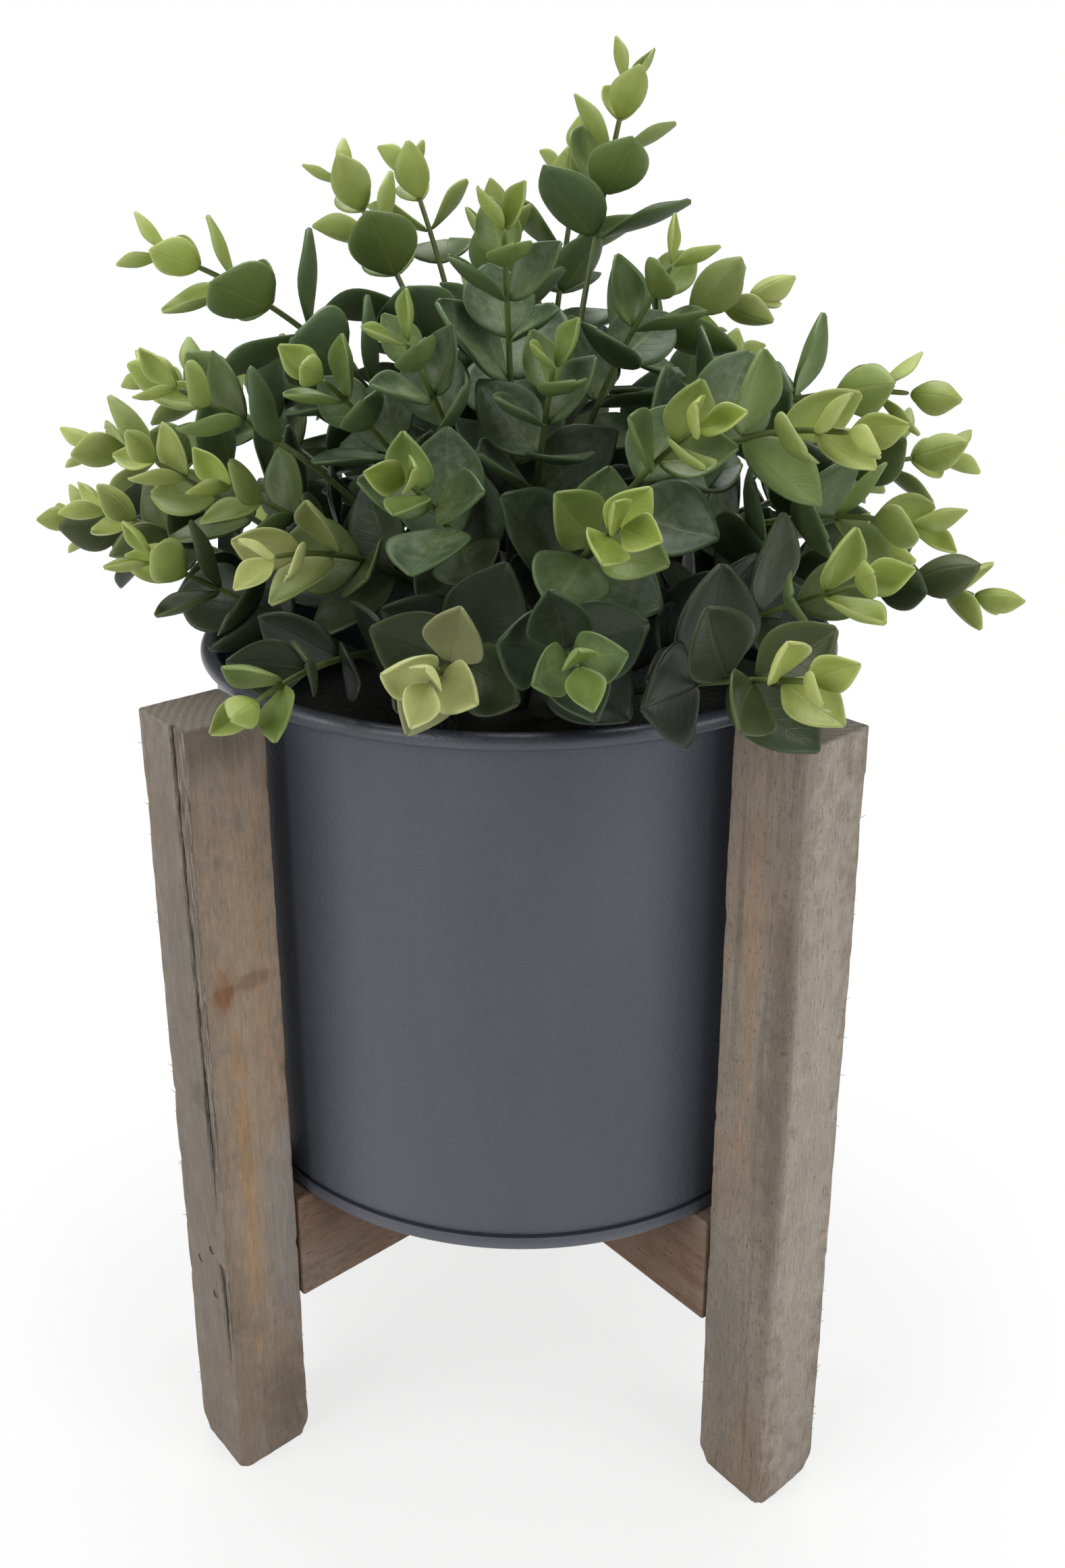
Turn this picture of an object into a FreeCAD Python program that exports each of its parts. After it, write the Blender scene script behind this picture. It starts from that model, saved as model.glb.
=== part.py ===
"""Planter on a four-legged wooden stand, with an artificial evergreen bush, in millimetres.

The origin is on the floor under the axis of the pot and +Z is up. The legs stand on the
diagonals, so -Y is the side between the two front legs.
"""
import FreeCAD, Part
import itertools
import math
import os
import Sketcher
from FreeCAD import Placement, Rotation, Vector

# Driving dimensions: alias, value, what it is
DIMENSIONS = [
    ("leg_side", 20.5, "side of a leg's square section"),
    ("leg_height", 201.0, "length of a leg"),
    ("leg_arris", 1.5, "rounding of a leg's long edges"),
    ("leg_end_chamfer", 1.3, "chamfer round a leg's two ends"),
    ("leg_clearance", 0.9, "room between the rim and a leg"),
    ("rail_top", 72.5, "height of the cross that carries the pot"),
    ("rail_height", 29.0, "height of a cross rail"),
    ("rail_thickness", 20.5, "thickness of a cross rail"),
    ("rail_arris", 0.6, "rounding of a rail's lower edges"),
    ("rail_end_gap", 0.3, "gap between a rail's end and its leg"),
    ("lap_gap", 0.15, "play in the halving joint of the rails"),
    ("brad_diameter", 1.4, "shank of a brad nail"),
    ("brad_head", 2.2, "head of a brad nail"),
    ("brad_head_height", 1.2, "thickness of a brad's head"),
    ("brad_length", 44.0, "length of a brad with its head"),
    ("brad_sink", 0.5, "depth of a brad's head below the leg's face"),
    ("brad_offset", 3.2, "sideways step between brads"),
    ("brad_pitch", 6.5, "height step between brads"),
    ("brad_play", 0.04, "room round a brad in its hole"),
    ("pot_diameter", 153.0, "outside of the pot's wall"),
    ("pot_height", 130.0, "height of the pot over its rim"),
    ("sheet_gauge", 0.5, "thickness of the pot's sheet metal"),
    ("rim_curl", 4.0, "diameter of the curled rim"),
    ("lock_seam_width", 5.0, "width of the wall's upright lock seam"),
    ("lock_seam_proud", 0.5, "how far the lock seam stands out"),
    ("foot_fold", 3.6, "height of the base's edge folded up round the wall"),
    ("foot_gap", 0.35, "gap between that fold and the wall"),
    ("foot_fit", 0.1, "fit of the wall on the base's inner skirt"),
    ("foot_radius", 0.8, "rounding under the folded edge"),
    ("base_recess", 3.0, "how far the base panel is set up from the foot"),
    ("plug_clearance", 0.4, "room between the foam plug and the wall"),
    ("plug_drop", 30.0, "depth of the plug's top below the rim"),
    ("collar_radius", 16.0, "radius of the collar that the stems grow from"),
    ("collar_depth", 46.0, "how deep the collar stands in the plug"),
    ("collar_rise", 7.5, "height of the collar's dome centre above the plug"),
    ("collar_fit", 0.1, "fit of the collar in the plug"),
    ("stem_radius", 1.0, "radius of a sprig's stem"),
    ("leaf_longest", 25.0, "length of the leaves low on a sprig"),
    ("leaf_shortest", 12.0, "length of the leaves at a sprig's tip"),
    ("leaf_thickness", 0.9, "thickness of a leaf"),
    ("leaf_shape", 0.42, "half width of a leaf over its length"),
    ("leaf_cup", 0.17, "depth of a leaf's hollow over its length"),
    ("internode_longest", 11.0, "stem between two leaf pairs, low down"),
    ("internode_shortest", 8.0, "stem between two leaf pairs, at the tip"),
    ("bare_stem", 28.0, "stem without leaves above the collar"),
    ("leaf_room", 3.2, "least room between the leaves of two sprigs"),
    ("pair_room", 1.6, "least room between two leaf pairs of one sprig"),
    ("drape_room", 22.0, "how far outside the rim low leaves stay above it"),
]

# Sprigs: compass angle from +X, lean above level at the collar, stem length, droop to the tip
SPRIGS = [
    (188, 86, 131, 65),
    (150, 87, 125, 36),
    (125, 85, 128, 33),
    (-90, 89, 110, 29),
    (50, 84, 141, 13),
    (75, 83, 129, 24),
    (25, 104, 118, 98),
    (-5, 84, 120, 90),
    (-42, 78, 118, 78),
    (16, 55, 116, 54),
    (-25, 65, 104, 71),
    (4, 44, 108, 61),
    (-47, 36, 103, 12),
    (-62, 29, 118, 13),
    (-95, 42, 94, 38),
    (-80, 42, 103, 35),
    (-72, 59, 92, 40),
    (-102, 64, 92, 39),
    (-118, 46, 90, 58),
    (-128, 66, 82, 64),
    (-150, 34, 88, 4),
    (182, 39, 101, 22),
    (164, 32, 125, 29),
    (198, 49, 95, 17),
    (173, 58, 118, 57),
    (160, 62, 122, 52),
    (36, 43, 114, 38),
    (56, 56, 114, 34),
    (66, 33, 110, 30),
    (88, 50, 116, 40),
    (100, 70, 118, 40),
    (98, 29, 108, 26),
    (118, 45, 114, 40),
    (134, 32, 110, 30),
    (140, 60, 116, 46),
    (210, 68, 106, 42),
    (-60, 66, 101, 38),
    (-76, 80, 88, 30),
    (-112, 80, 96, 34),
    (-28, 88, 104, 34),
    (206, 60, 80, 34),
    (-136, 78, 90, 38),
    (-12, 47, 82, 34),
    (104, 90, 108, 24),
]

# Legs and the compass angle of each
LEGS = {"front_right": -45, "back_right": 45, "back_left": 135, "front_left": -135}
BRADS_PER_LEG = 3

# Sprigs: leaf pairs from the tip until leaves are full size, pairs from the tip that may hang over
# the rim, spread of a leaf from its stem at the tip and low down, turn about the stem from one sprig
# to the next, and how much more upright a stem stands than the dome under it, all angles in degrees
PAIRS_TO_FULL_SIZE = 4
PAIRS_OVER_RIM = 2
TIP_SPREAD = 40
LOW_SPREAD = 66
ROLL_STEP = 37
SEAT_TURN = 25

# What a leaf tries in turn to find room: share of its length, change of its spread and turn about
# its stem in degrees
LEAF_TRIES = list(itertools.product((1.0, 0.8), (0, -20, 15), (0, 25, -25, 50, -50)))

# Leaf outline in shares of its length: shoulder, belly, the shoulder's share of the cup, fullness
SHOULDER = 0.3
BELLY = 0.68
SHOULDER_CUP = 0.6
FULLNESS = 0.8

# Least volume of a sound sprig over that of its loose stem and leaves, which overlap a little
SOUND_FUSE = 0.98

doc = FreeCAD.newDocument("Planter")
sheet = doc.addObject("Spreadsheet::Sheet", "Sheet")
for row, (alias, value, note) in enumerate(DIMENSIONS, start=1):
    sheet.set(f"A{row}", alias)
    sheet.set(f"B{row}", str(value))
    sheet.set(f"C{row}", note)
    sheet.setAlias(f"B{row}", alias)
doc.recompute()

# Sizes that follow from the driving ones, as expressions for the document
WALL_OUT = "(Sheet.pot_diameter / 2)"
WALL_IN = f"({WALL_OUT} - Sheet.sheet_gauge)"
RIM_OUT = f"({WALL_IN} + Sheet.rim_curl)"
CURL = "(Sheet.rim_curl / 2)"
LEG_IN = f"({RIM_OUT} + Sheet.leg_clearance)"
LEG_MID = f"({LEG_IN} + Sheet.leg_side / 2)"
RAIL_END = f"({LEG_IN} - Sheet.rail_end_gap)"
RAIL_MIDDLE = "(Sheet.rail_top - Sheet.rail_height / 2)"
SKIRT_OUT = f"({WALL_IN} - Sheet.foot_fit)"
SKIRT_IN = f"({SKIRT_OUT} - Sheet.sheet_gauge)"
FOLD_IN = f"({WALL_OUT} + Sheet.foot_gap)"
FOLD_OUT = f"({FOLD_IN} + Sheet.sheet_gauge)"
WALL_FOOT = "(Sheet.sheet_gauge + Sheet.foot_fit)"
PANEL_TOP = "(Sheet.base_recess + Sheet.sheet_gauge)"
PLUG_TOP = "(Sheet.pot_height - Sheet.plug_drop)"
PLUG_RADIUS = f"({WALL_IN} - Sheet.plug_clearance)"
COLLAR_FOOT = f"({PLUG_TOP} - Sheet.collar_depth)"
COLLAR_DOME = f"({PLUG_TOP} + Sheet.collar_rise)"


def size(expression):
    """Value in millimetres of an expression on the sheet."""
    return float(sheet.evalExpression(expression))


def dimension(alias):
    """Value in millimetres of one driving dimension."""
    return float(sheet.get(alias))


def new_body(label):
    """Empty body whose label is the sub-part's name."""
    body = doc.addObject("PartDesign::Body", label)
    body.Label = label
    return body


def sketch_on(body, role, name):
    """Sketch on one of the body's own origin planes."""
    sketch = body.newObject("Sketcher::SketchObject", name)
    plane = next(item for item in body.Origin.OriginFeatures if item.Role == role)
    sketch.AttachmentSupport = [(plane, "")]
    sketch.MapMode = "FlatFace"
    return sketch


def bind(sketch, kind, value, *where):
    """Constraint of a sketch whose value is an expression on the sheet."""
    index = sketch.addConstraint(Sketcher.Constraint(kind, *where, size(value)))
    sketch.setExpression(f"Constraints[{index}]", value)


def arc_between(start, end, radius):
    """Arc from start to end; a positive radius turns left, a negative one right."""
    chord = end - start
    half = chord.Length / 2
    rise = math.sqrt(max(radius * radius - half * half, 0.0))
    left = Vector(-chord.y, chord.x, 0).normalize()
    side = 1 if radius > 0 else -1
    centre = start + chord * 0.5 + left * (rise * side)
    circle = Part.Circle(centre, Vector(0, 0, 1), abs(radius))
    first, last = (start, end) if side > 0 else (end, start)
    angles = [math.atan2(p.y - centre.y, p.x - centre.x) for p in (first, last)]
    return Part.ArcOfCircle(circle, *angles)


def outline(sketch, corners, arcs=None):
    """Closed outline through corners given as pairs of expressions.

    arcs maps the number of a side to the expression of its radius; a leading minus sign
    turns the arc to the right.
    """
    arcs = arcs or {}
    points = [Vector(size(x), size(y), 0) for x, y in corners]
    ends = []
    for number, (start, end) in enumerate(zip(points, points[1:] + points[:1])):
        if number in arcs:
            radius = size(arcs[number])
            sketch.addGeometry(arc_between(start, end, radius))
            ends.append((1, 2) if radius > 0 else (2, 1))
        else:
            sketch.addGeometry(Part.LineSegment(start, end))
            ends.append((1, 2))
    for number, (first, last) in enumerate(ends):
        following = (number + 1) % len(ends)
        sketch.addConstraint(
            Sketcher.Constraint("Coincident", number, last, following, ends[following][0])
        )
        bind(sketch, "DistanceX", corners[number][0], -1, 1, number, first)
        bind(sketch, "DistanceY", corners[number][1], -1, 1, number, first)
        if number in arcs:
            bind(sketch, "Radius", f"abs({arcs[number]})", number)


def rectangle(sketch, left, bottom, right, top):
    """Upright rectangle between four expressions."""
    outline(sketch, [(left, bottom), (right, bottom), (right, top), (left, top)])


def circles(sketch, places, diameter):
    """One circle at each place, all of one diameter."""
    for number, (x, y) in enumerate(places):
        sketch.addGeometry(Part.Circle(Vector(size(x), size(y), 0), Vector(0, 0, 1), size(diameter) / 2))
        bind(sketch, "DistanceX", x, -1, 1, number, 3)
        bind(sketch, "DistanceY", y, -1, 1, number, 3)
        bind(sketch, "Diameter", diameter, number)


def pad(body, sketch, length, name):
    """Pad of a sketch over a length."""
    feature = body.newObject("PartDesign::Pad", name)
    feature.Profile = sketch
    feature.setExpression("Length", length)
    return feature


def pocket(body, sketch, name, length=None, reverse=False):
    """Pocket of a sketch, right through both ways where no length is given."""
    feature = body.newObject("PartDesign::Pocket", name)
    feature.Profile = sketch
    if length is None:
        feature.Type = "ThroughAll"
        feature.SideType = "Symmetric"
    else:
        feature.setExpression("Length", length)
    feature.Reversed = reverse
    return feature


def revolve(body, sketch, name):
    """Full turn of a sketch about its upright axis."""
    feature = body.newObject("PartDesign::Revolution", name)
    feature.Profile = sketch
    feature.ReferenceAxis = (sketch, ["V_Axis"])
    feature.Angle = 360
    return feature


def soften(body, kind, name, width, chosen):
    """Fillet or chamfer on the edges of the body's last feature that a test chooses."""
    doc.recompute()
    base = body.Tip
    edges = [f"Edge{n}" for n, edge in enumerate(base.Shape.Edges, start=1) if chosen(edge)]
    feature = body.newObject(f"PartDesign::{kind}", name)
    feature.Base = (base, edges)
    feature.setExpression("Radius" if kind == "Fillet" else "Size", width)
    return feature


def at_height(edge, height):
    """True for an edge that lies level at a height."""
    return edge.BoundBox.ZLength < 1e-6 and abs(edge.BoundBox.ZMin - height) < 1e-6


def turn(body, angle):
    """Turn a sub-part about the upright axis."""
    body.Placement = Placement(Vector(), Rotation(Vector(0, 0, 1), angle))


def brad_places(along):
    """Places of a leg's brads across and up the leg, staggered about the rail's middle."""
    middle = (BRADS_PER_LEG - 1) / 2
    return [
        (f"({along} * {(-1) ** number} * Sheet.brad_offset)",
         f"({RAIL_MIDDLE} + {middle - number} * Sheet.brad_pitch)")
        for number in range(BRADS_PER_LEG)
    ]


BRAD_HOLE = "(Sheet.brad_diameter + 2 * Sheet.brad_play)"
HEAD_HOLE = "(Sheet.brad_head + 2 * Sheet.brad_play)"
HEAD_DEPTH = "(Sheet.brad_sink + Sheet.brad_head_height)"
BRAD_REACH = "(Sheet.brad_sink + Sheet.brad_length - Sheet.leg_side - Sheet.rail_end_gap)"


def make_leg(name, angle):
    """Leg with worn arrises, its inner face just outside the rim, drilled for its brads."""
    body = new_body(f"leg_{name}")
    section = sketch_on(body, "XY_Plane", f"{name}_section")
    rectangle(section, LEG_IN, "-Sheet.leg_side / 2", f"{LEG_IN} + Sheet.leg_side", "Sheet.leg_side / 2")
    pad(body, section, "Sheet.leg_height", f"{name}_post")
    height = dimension("leg_height")
    soften(body, "Fillet", f"{name}_arris", "Sheet.leg_arris",
           lambda edge: edge.BoundBox.ZLength > height / 2)
    soften(body, "Chamfer", f"{name}_ends", "Sheet.leg_end_chamfer",
           lambda edge: at_height(edge, 0) or at_height(edge, height))
    shanks = sketch_on(body, "YZ_Plane", f"{name}_shanks")
    circles(shanks, brad_places(1), BRAD_HOLE)
    pocket(body, shanks, f"{name}_shank_holes")
    heads = sketch_on(body, "YZ_Plane", f"{name}_heads")
    heads.setExpression("AttachmentOffset.Base.z", f"{LEG_IN} + Sheet.leg_side")
    circles(heads, brad_places(1), HEAD_HOLE)
    pocket(body, heads, f"{name}_head_holes", HEAD_DEPTH)
    turn(body, angle)
    return body


def make_rail(name, angle, notch_on_top):
    """Cross rail between two legs, halved where it crosses the other rail."""
    body = new_body(f"cross_rail_{name}")
    section = sketch_on(body, "XY_Plane", f"{name}_plan")
    section.setExpression("AttachmentOffset.Base.z", "Sheet.rail_top - Sheet.rail_height")
    rectangle(section, f"-{RAIL_END}", "-Sheet.rail_thickness / 2", RAIL_END, "Sheet.rail_thickness / 2")
    pad(body, section, "Sheet.rail_height", f"{name}_bar")
    foot = size("Sheet.rail_top - Sheet.rail_height")
    soften(body, "Fillet", f"{name}_arris", "Sheet.rail_arris",
           lambda edge: at_height(edge, foot) and edge.BoundBox.XLength > edge.BoundBox.YLength)
    notch = sketch_on(body, "XZ_Plane", f"{name}_notch")
    half = "(Sheet.rail_thickness / 2 + Sheet.lap_gap)"
    if notch_on_top:
        rectangle(notch, f"-{half}", f"{RAIL_MIDDLE} - Sheet.lap_gap / 2", half, "Sheet.rail_top + 1")
    else:
        rectangle(notch, f"-{half}", "Sheet.rail_top - Sheet.rail_height - 1", half,
                  f"{RAIL_MIDDLE} + Sheet.lap_gap / 2")
    pocket(body, notch, f"{name}_halving")
    for end, side in (("near", -1), ("far", 1)):
        holes = sketch_on(body, "YZ_Plane", f"{name}_{end}_holes")
        holes.setExpression("AttachmentOffset.Base.z", f"{side} * {RAIL_END}")
        circles(holes, brad_places(side), BRAD_HOLE)
        pocket(body, holes, f"{name}_{end}_drill", BRAD_REACH, reverse=side < 0)
    turn(body, angle)
    return body


def make_brads():
    """All brads: each stands in a leg with its head sunk, and reaches into the rail's end."""
    outside = size(f"{LEG_IN} + Sheet.leg_side - Sheet.brad_sink")
    inward = Vector(-1, 0, 0)
    brads = []
    for angle in LEGS.values():
        for across, up in brad_places(1):
            top = Vector(outside, size(across), size(up))
            head = Part.makeCylinder(dimension("brad_head") / 2, dimension("brad_head_height"), top, inward)
            shank = Part.makeCylinder(dimension("brad_diameter") / 2, dimension("brad_length"), top, inward)
            brad = head.fuse(shank)
            brad.rotate(Vector(), Vector(0, 0, 1), angle)
            brads.append(brad)
    feature = doc.addObject("Part::Feature", "leg_brads")
    feature.Shape = Part.makeCompound(brads)
    return feature


def make_pot_wall():
    """Rolled wall with its rim curled outwards and its upright lock seam at the back."""
    body = new_body("pot_wall")
    profile = sketch_on(body, "XZ_Plane", "wall_profile")
    curl_height = f"(Sheet.pot_height - {CURL})"
    curl_middle = f"({WALL_IN} + {CURL})"
    inside = f"({CURL} - Sheet.sheet_gauge)"
    outline(
        profile,
        [
            (WALL_IN, WALL_FOOT),
            (WALL_OUT, WALL_FOOT),
            (WALL_OUT, curl_height),
            (curl_middle, f"{curl_height} + {inside}"),
            (f"{curl_middle} + {inside}", curl_height),
            (curl_middle, f"{curl_height} - {inside}"),
            (curl_middle, f"{curl_height} - {CURL}"),
            (RIM_OUT, curl_height),
            (curl_middle, "Sheet.pot_height"),
            (WALL_IN, curl_height),
        ],
        {2: f"-{inside}", 3: f"-{inside}", 4: f"-{inside}", 6: CURL, 7: CURL, 8: CURL},
    )
    revolve(body, profile, "wall_turn")
    seam = sketch_on(body, "XY_Plane", "seam_plan")
    seam_foot = "(Sheet.foot_fold + Sheet.foot_gap)"
    seam.setExpression("AttachmentOffset.Base.z", seam_foot)
    half = "Sheet.lock_seam_width / 2"
    rectangle(seam, f"-{half}", f"{WALL_OUT} - Sheet.sheet_gauge / 2", half,
              f"{WALL_OUT} + Sheet.lock_seam_proud")
    pad(body, seam, f"{curl_height} - {CURL} - Sheet.foot_gap - {seam_foot}", "lock_seam")
    body.setExpression("Placement.Base.z", "Sheet.rail_top")
    return body


def make_pot_base():
    """Pressed base: a raised panel, a skirt inside the wall and an edge folded up outside it."""
    body = new_body("pot_base")
    profile = sketch_on(body, "XZ_Plane", "base_profile")
    outline(
        profile,
        [
            ("0", "Sheet.base_recess"),
            (SKIRT_IN, "Sheet.base_recess"),
            (SKIRT_IN, "0"),
            (f"{FOLD_OUT} - Sheet.foot_radius", "0"),
            (FOLD_OUT, "Sheet.foot_radius"),
            (FOLD_OUT, "Sheet.foot_fold"),
            (FOLD_IN, "Sheet.foot_fold"),
            (FOLD_IN, "Sheet.sheet_gauge"),
            (SKIRT_OUT, "Sheet.sheet_gauge"),
            (SKIRT_OUT, PANEL_TOP),
            ("0", PANEL_TOP),
        ],
        {3: "Sheet.foot_radius"},
    )
    revolve(body, profile, "base_turn")
    body.setExpression("Placement.Base.z", "Sheet.rail_top")
    return body


def make_plug():
    """Foam plug on the base panel, bored for the collar."""
    body = new_body("foam_plug")
    profile = sketch_on(body, "XZ_Plane", "plug_profile")
    bore = "(Sheet.collar_radius + Sheet.collar_fit)"
    outline(
        profile,
        [
            ("0", PANEL_TOP),
            (PLUG_RADIUS, PANEL_TOP),
            (PLUG_RADIUS, PLUG_TOP),
            (bore, PLUG_TOP),
            (bore, COLLAR_FOOT),
            ("0", COLLAR_FOOT),
        ],
    )
    revolve(body, profile, "plug_turn")
    body.setExpression("Placement.Base.z", "Sheet.rail_top")
    return body


def make_collar():
    """Moulded stub with a domed head that every stem grows from."""
    body = new_body("stem_collar")
    profile = sketch_on(body, "XZ_Plane", "collar_profile")
    outline(
        profile,
        [
            ("0", COLLAR_FOOT),
            ("Sheet.collar_radius", COLLAR_FOOT),
            ("Sheet.collar_radius", COLLAR_DOME),
            ("0", f"{COLLAR_DOME} + Sheet.collar_radius"),
        ],
        {2: "Sheet.collar_radius"},
    )
    revolve(body, profile, "collar_turn")
    body.setExpression("Placement.Base.z", "Sheet.rail_top")
    return body


class Stem:
    """Arched stem in an upright plane through the pot's axis, seated round the collar's dome.

    It stands more upright than the dome under it, by the seat turn, so that stems have room.
    """

    def __init__(self, compass, lean, length, droop, roll):
        angle = math.radians(compass)
        self.roll = math.radians(roll)
        self.out = Vector(math.cos(angle), math.sin(angle), 0)
        self.across = Vector(-math.sin(angle), math.cos(angle), 0)
        self.lean = math.radians(lean)
        self.droop = math.radians(droop)
        self.length = length
        seat = self.lean - math.radians(SEAT_TURN)
        overlap = math.sin(math.radians(SEAT_TURN))
        seat_reach = dimension("collar_radius") + dimension("stem_radius") * overlap
        self.root = Vector(0, 0, size(f"Sheet.rail_top + {COLLAR_DOME}"))
        self.root += (self.out * math.cos(seat) + Vector(0, 0, math.sin(seat))) * seat_reach

    def slope(self, along):
        """Angle above level at a distance along the stem."""
        return self.lean - self.droop * along / self.length

    def heading(self, along):
        """Direction of the stem at a distance along it."""
        slope = self.slope(along)
        return self.out * math.cos(slope) + Vector(0, 0, math.sin(slope))

    def place(self, along):
        """Point on the stem's middle line at a distance along it."""
        bend = self.length / self.droop
        reach = bend * (math.sin(self.lean) - math.sin(self.slope(along)))
        rise = bend * (math.cos(self.slope(along)) - math.cos(self.lean))
        return self.root + self.out * reach + Vector(0, 0, rise)

    def sideways(self, along, angle):
        """Direction square to the stem, at an angle about it from the first leaf."""
        upright = self.across.cross(self.heading(along))
        return upright * math.cos(self.roll + angle) + self.across * math.sin(self.roll + angle)

    def solid(self, radius):
        """Round rod along the stem, with its seams between the leaves."""
        half = self.length / 2
        path = Part.Wire(Part.Arc(self.place(0), self.place(half), self.place(self.length)).toShape())
        quarters = [math.radians(turn) for turn in (45, 135, 225, 315, 45)]
        ring = [self.place(0) + self.sideways(0, quarter) * radius for quarter in quarters]
        section = Part.Wire([Part.Arc(*ring[:3]).toShape(), Part.Arc(*ring[2:]).toShape()])
        return path.makePipeShell([section], True, False)

    def marks(self, step):
        """Points along the stem, a step apart."""
        count = int(self.length / step)
        return [self.place(step * number) for number in range(count + 1)]


class Leaf:
    """Cupped pointed leaf at one side of a stem's node."""

    def __init__(self, stem, pair, along, side, spread, length):
        heading = stem.heading(along)
        outward = stem.sideways(along, side)
        self.axis = heading * math.cos(spread) + outward * math.sin(spread)
        self.normal = heading * math.sin(spread) - outward * math.cos(spread)
        self.width = self.normal.cross(self.axis)
        self.base = stem.place(along)
        self.pair = pair
        self.length = length

    def at(self, along, across, up):
        """Point of the leaf, given in shares of its length."""
        reach = self.axis * along + self.width * across + self.normal * up
        return self.base + reach * self.length

    def half_width(self, along):
        """Half width of the leaf over its length at a share of its length."""
        return dimension("leaf_shape") * math.sin(math.pi * along ** FULLNESS)

    def marks(self):
        """Points spread over the leaf, to measure its distance from others."""
        steps = (0.18, 0.38, 0.58, 0.78, 0.98)
        shares = (-1.0, -0.6, -0.2, 0.2, 0.6, 1.0)
        cup = dimension("leaf_cup")
        return [
            self.at(along, self.half_width(along) * share, cup * share * share)
            for along in steps
            for share in shares
        ]

    def solid(self, thickness):
        """Leaf of flat facets: a low middle, three edges each side, a raised point."""
        cup = dimension("leaf_cup")
        root = dimension("stem_radius") / 2 / self.length
        narrow, wide = self.half_width(SHOULDER), self.half_width(BELLY)
        rim = [(root, 0, 0), (SHOULDER, narrow, cup * SHOULDER_CUP), (BELLY, wide, cup),
               (1, 0, cup), (BELLY, -wide, cup), (SHOULDER, -narrow, cup * SHOULDER_CUP)]
        under = self.normal * -thickness
        top = [self.at(*corner) for corner in rim]
        middle = self.at(0.5, 0, 0)
        faces = []
        for first, second in zip(top, top[1:] + top[:1]):
            faces.append(flat(middle, first, second))
            faces.append(flat(middle + under, second + under, first + under))
            faces.append(flat(first, first + under, second + under, second))
        return Part.Solid(Part.Shell(faces))


def flat(*corners):
    """Flat face through its corners."""
    return Part.Face(Part.makePolygon([*corners, corners[0]]))


class Neighbours:
    """What a leaf has to stay clear of: the pot's rim and mouth, the legs and the other sprigs."""

    def __init__(self, stems):
        self.room = dimension("leaf_room")
        self.pair_room = dimension("pair_room")
        self.drape_room = dimension("drape_room")
        self.rim_top = size("Sheet.rail_top + Sheet.pot_height") + self.room
        self.rim_reach = size(RIM_OUT) + self.room
        self.leg_middle = size(LEG_MID)
        self.leg_half = dimension("leg_side") / 2 + self.room
        self.leg_top = dimension("leg_height") + self.room
        self.stem_room = self.room + dimension("stem_radius")
        self.stem_marks = [
            (number, mark) for number, stem in enumerate(stems) for mark in stem.marks(self.room)
        ]
        self.leaves = []

    def fouls_planter(self, mark, pair):
        """True for a point too near the rim, in the pot, near a leg, or low on a sprig over the rim."""
        reach = self.rim_reach + (0 if pair < PAIRS_OVER_RIM else self.drape_room)
        if math.hypot(mark.x, mark.y) < reach and mark.z < self.rim_top:
            return True
        along = (abs(mark.x) + abs(mark.y)) / math.sqrt(2)
        beside = abs(abs(mark.x) - abs(mark.y)) / math.sqrt(2)
        at_leg = abs(along - self.leg_middle) < self.leg_half and beside < self.leg_half
        return at_leg and mark.z < self.leg_top

    def take(self, number, leaf):
        """Add a leaf of one sprig if it has room, and tell whether it had."""
        marks = leaf.marks()
        reach = leaf.length + self.stem_room
        if any(self.fouls_planter(mark, leaf.pair) for mark in marks):
            return False
        for owner, point in self.stem_marks:
            if owner != number and point.distanceToPoint(leaf.base) < reach:
                if any(mark.distanceToPoint(point) < self.stem_room for mark in marks):
                    return False
        for owner, other, points in self.leaves:
            room = self.pair_room if owner == number else self.room
            partners = owner == number and other.pair == leaf.pair
            apart = leaf.base.distanceToPoint(other.base)
            if not partners and apart < leaf.length + other.length + room:
                if any(a.distanceToPoint(b) < room for a in marks for b in points):
                    return False
        self.leaves.append((number, leaf, marks))
        return True


def eased(tip_value, low_value, pair):
    """Value that grows from a sprig's tip to its full size over the first leaf pairs."""
    share = min(1.0, pair / PAIRS_TO_FULL_SIZE)
    return tip_value + (low_value - tip_value) * share


def leaf_places(length):
    """Distances along a stem of its leaf pairs, from the tip downwards."""
    places = []
    along = length
    while along > dimension("bare_stem"):
        places.append(along)
        along -= eased(dimension("internode_shortest"), dimension("internode_longest"), len(places) - 1)
    return places


def tried_leaves(stem, pair, along, half_turn):
    """Leaf at one side of a node as it would grow freely, then turned, bent or smaller."""
    free_spread = eased(TIP_SPREAD, LOW_SPREAD, pair)
    free_length = eased(dimension("leaf_shortest"), dimension("leaf_longest"), pair)
    for share, change, turn_aside in LEAF_TRIES:
        side = math.radians(90 * pair + half_turn + turn_aside)
        yield Leaf(stem, pair, along, side, math.radians(free_spread + change), free_length * share)


def grow_leaves(stems):
    """Crosswise leaf pairs of every stem, tips first, each leaf turned to where it has room."""
    neighbours = Neighbours(stems)
    places = [leaf_places(stem.length) for stem in stems]
    grown = [[] for stem in stems]
    for pair in range(max(len(row) for row in places)):
        for number, stem in enumerate(stems):
            for half_turn in (0, 180) if pair < len(places[number]) else ():
                tried = tried_leaves(stem, pair, places[number][pair], half_turn)
                leaf = next((leaf for leaf in tried if neighbours.take(number, leaf)), None)
                if leaf:
                    grown[number].append(leaf)
    return grown


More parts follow.
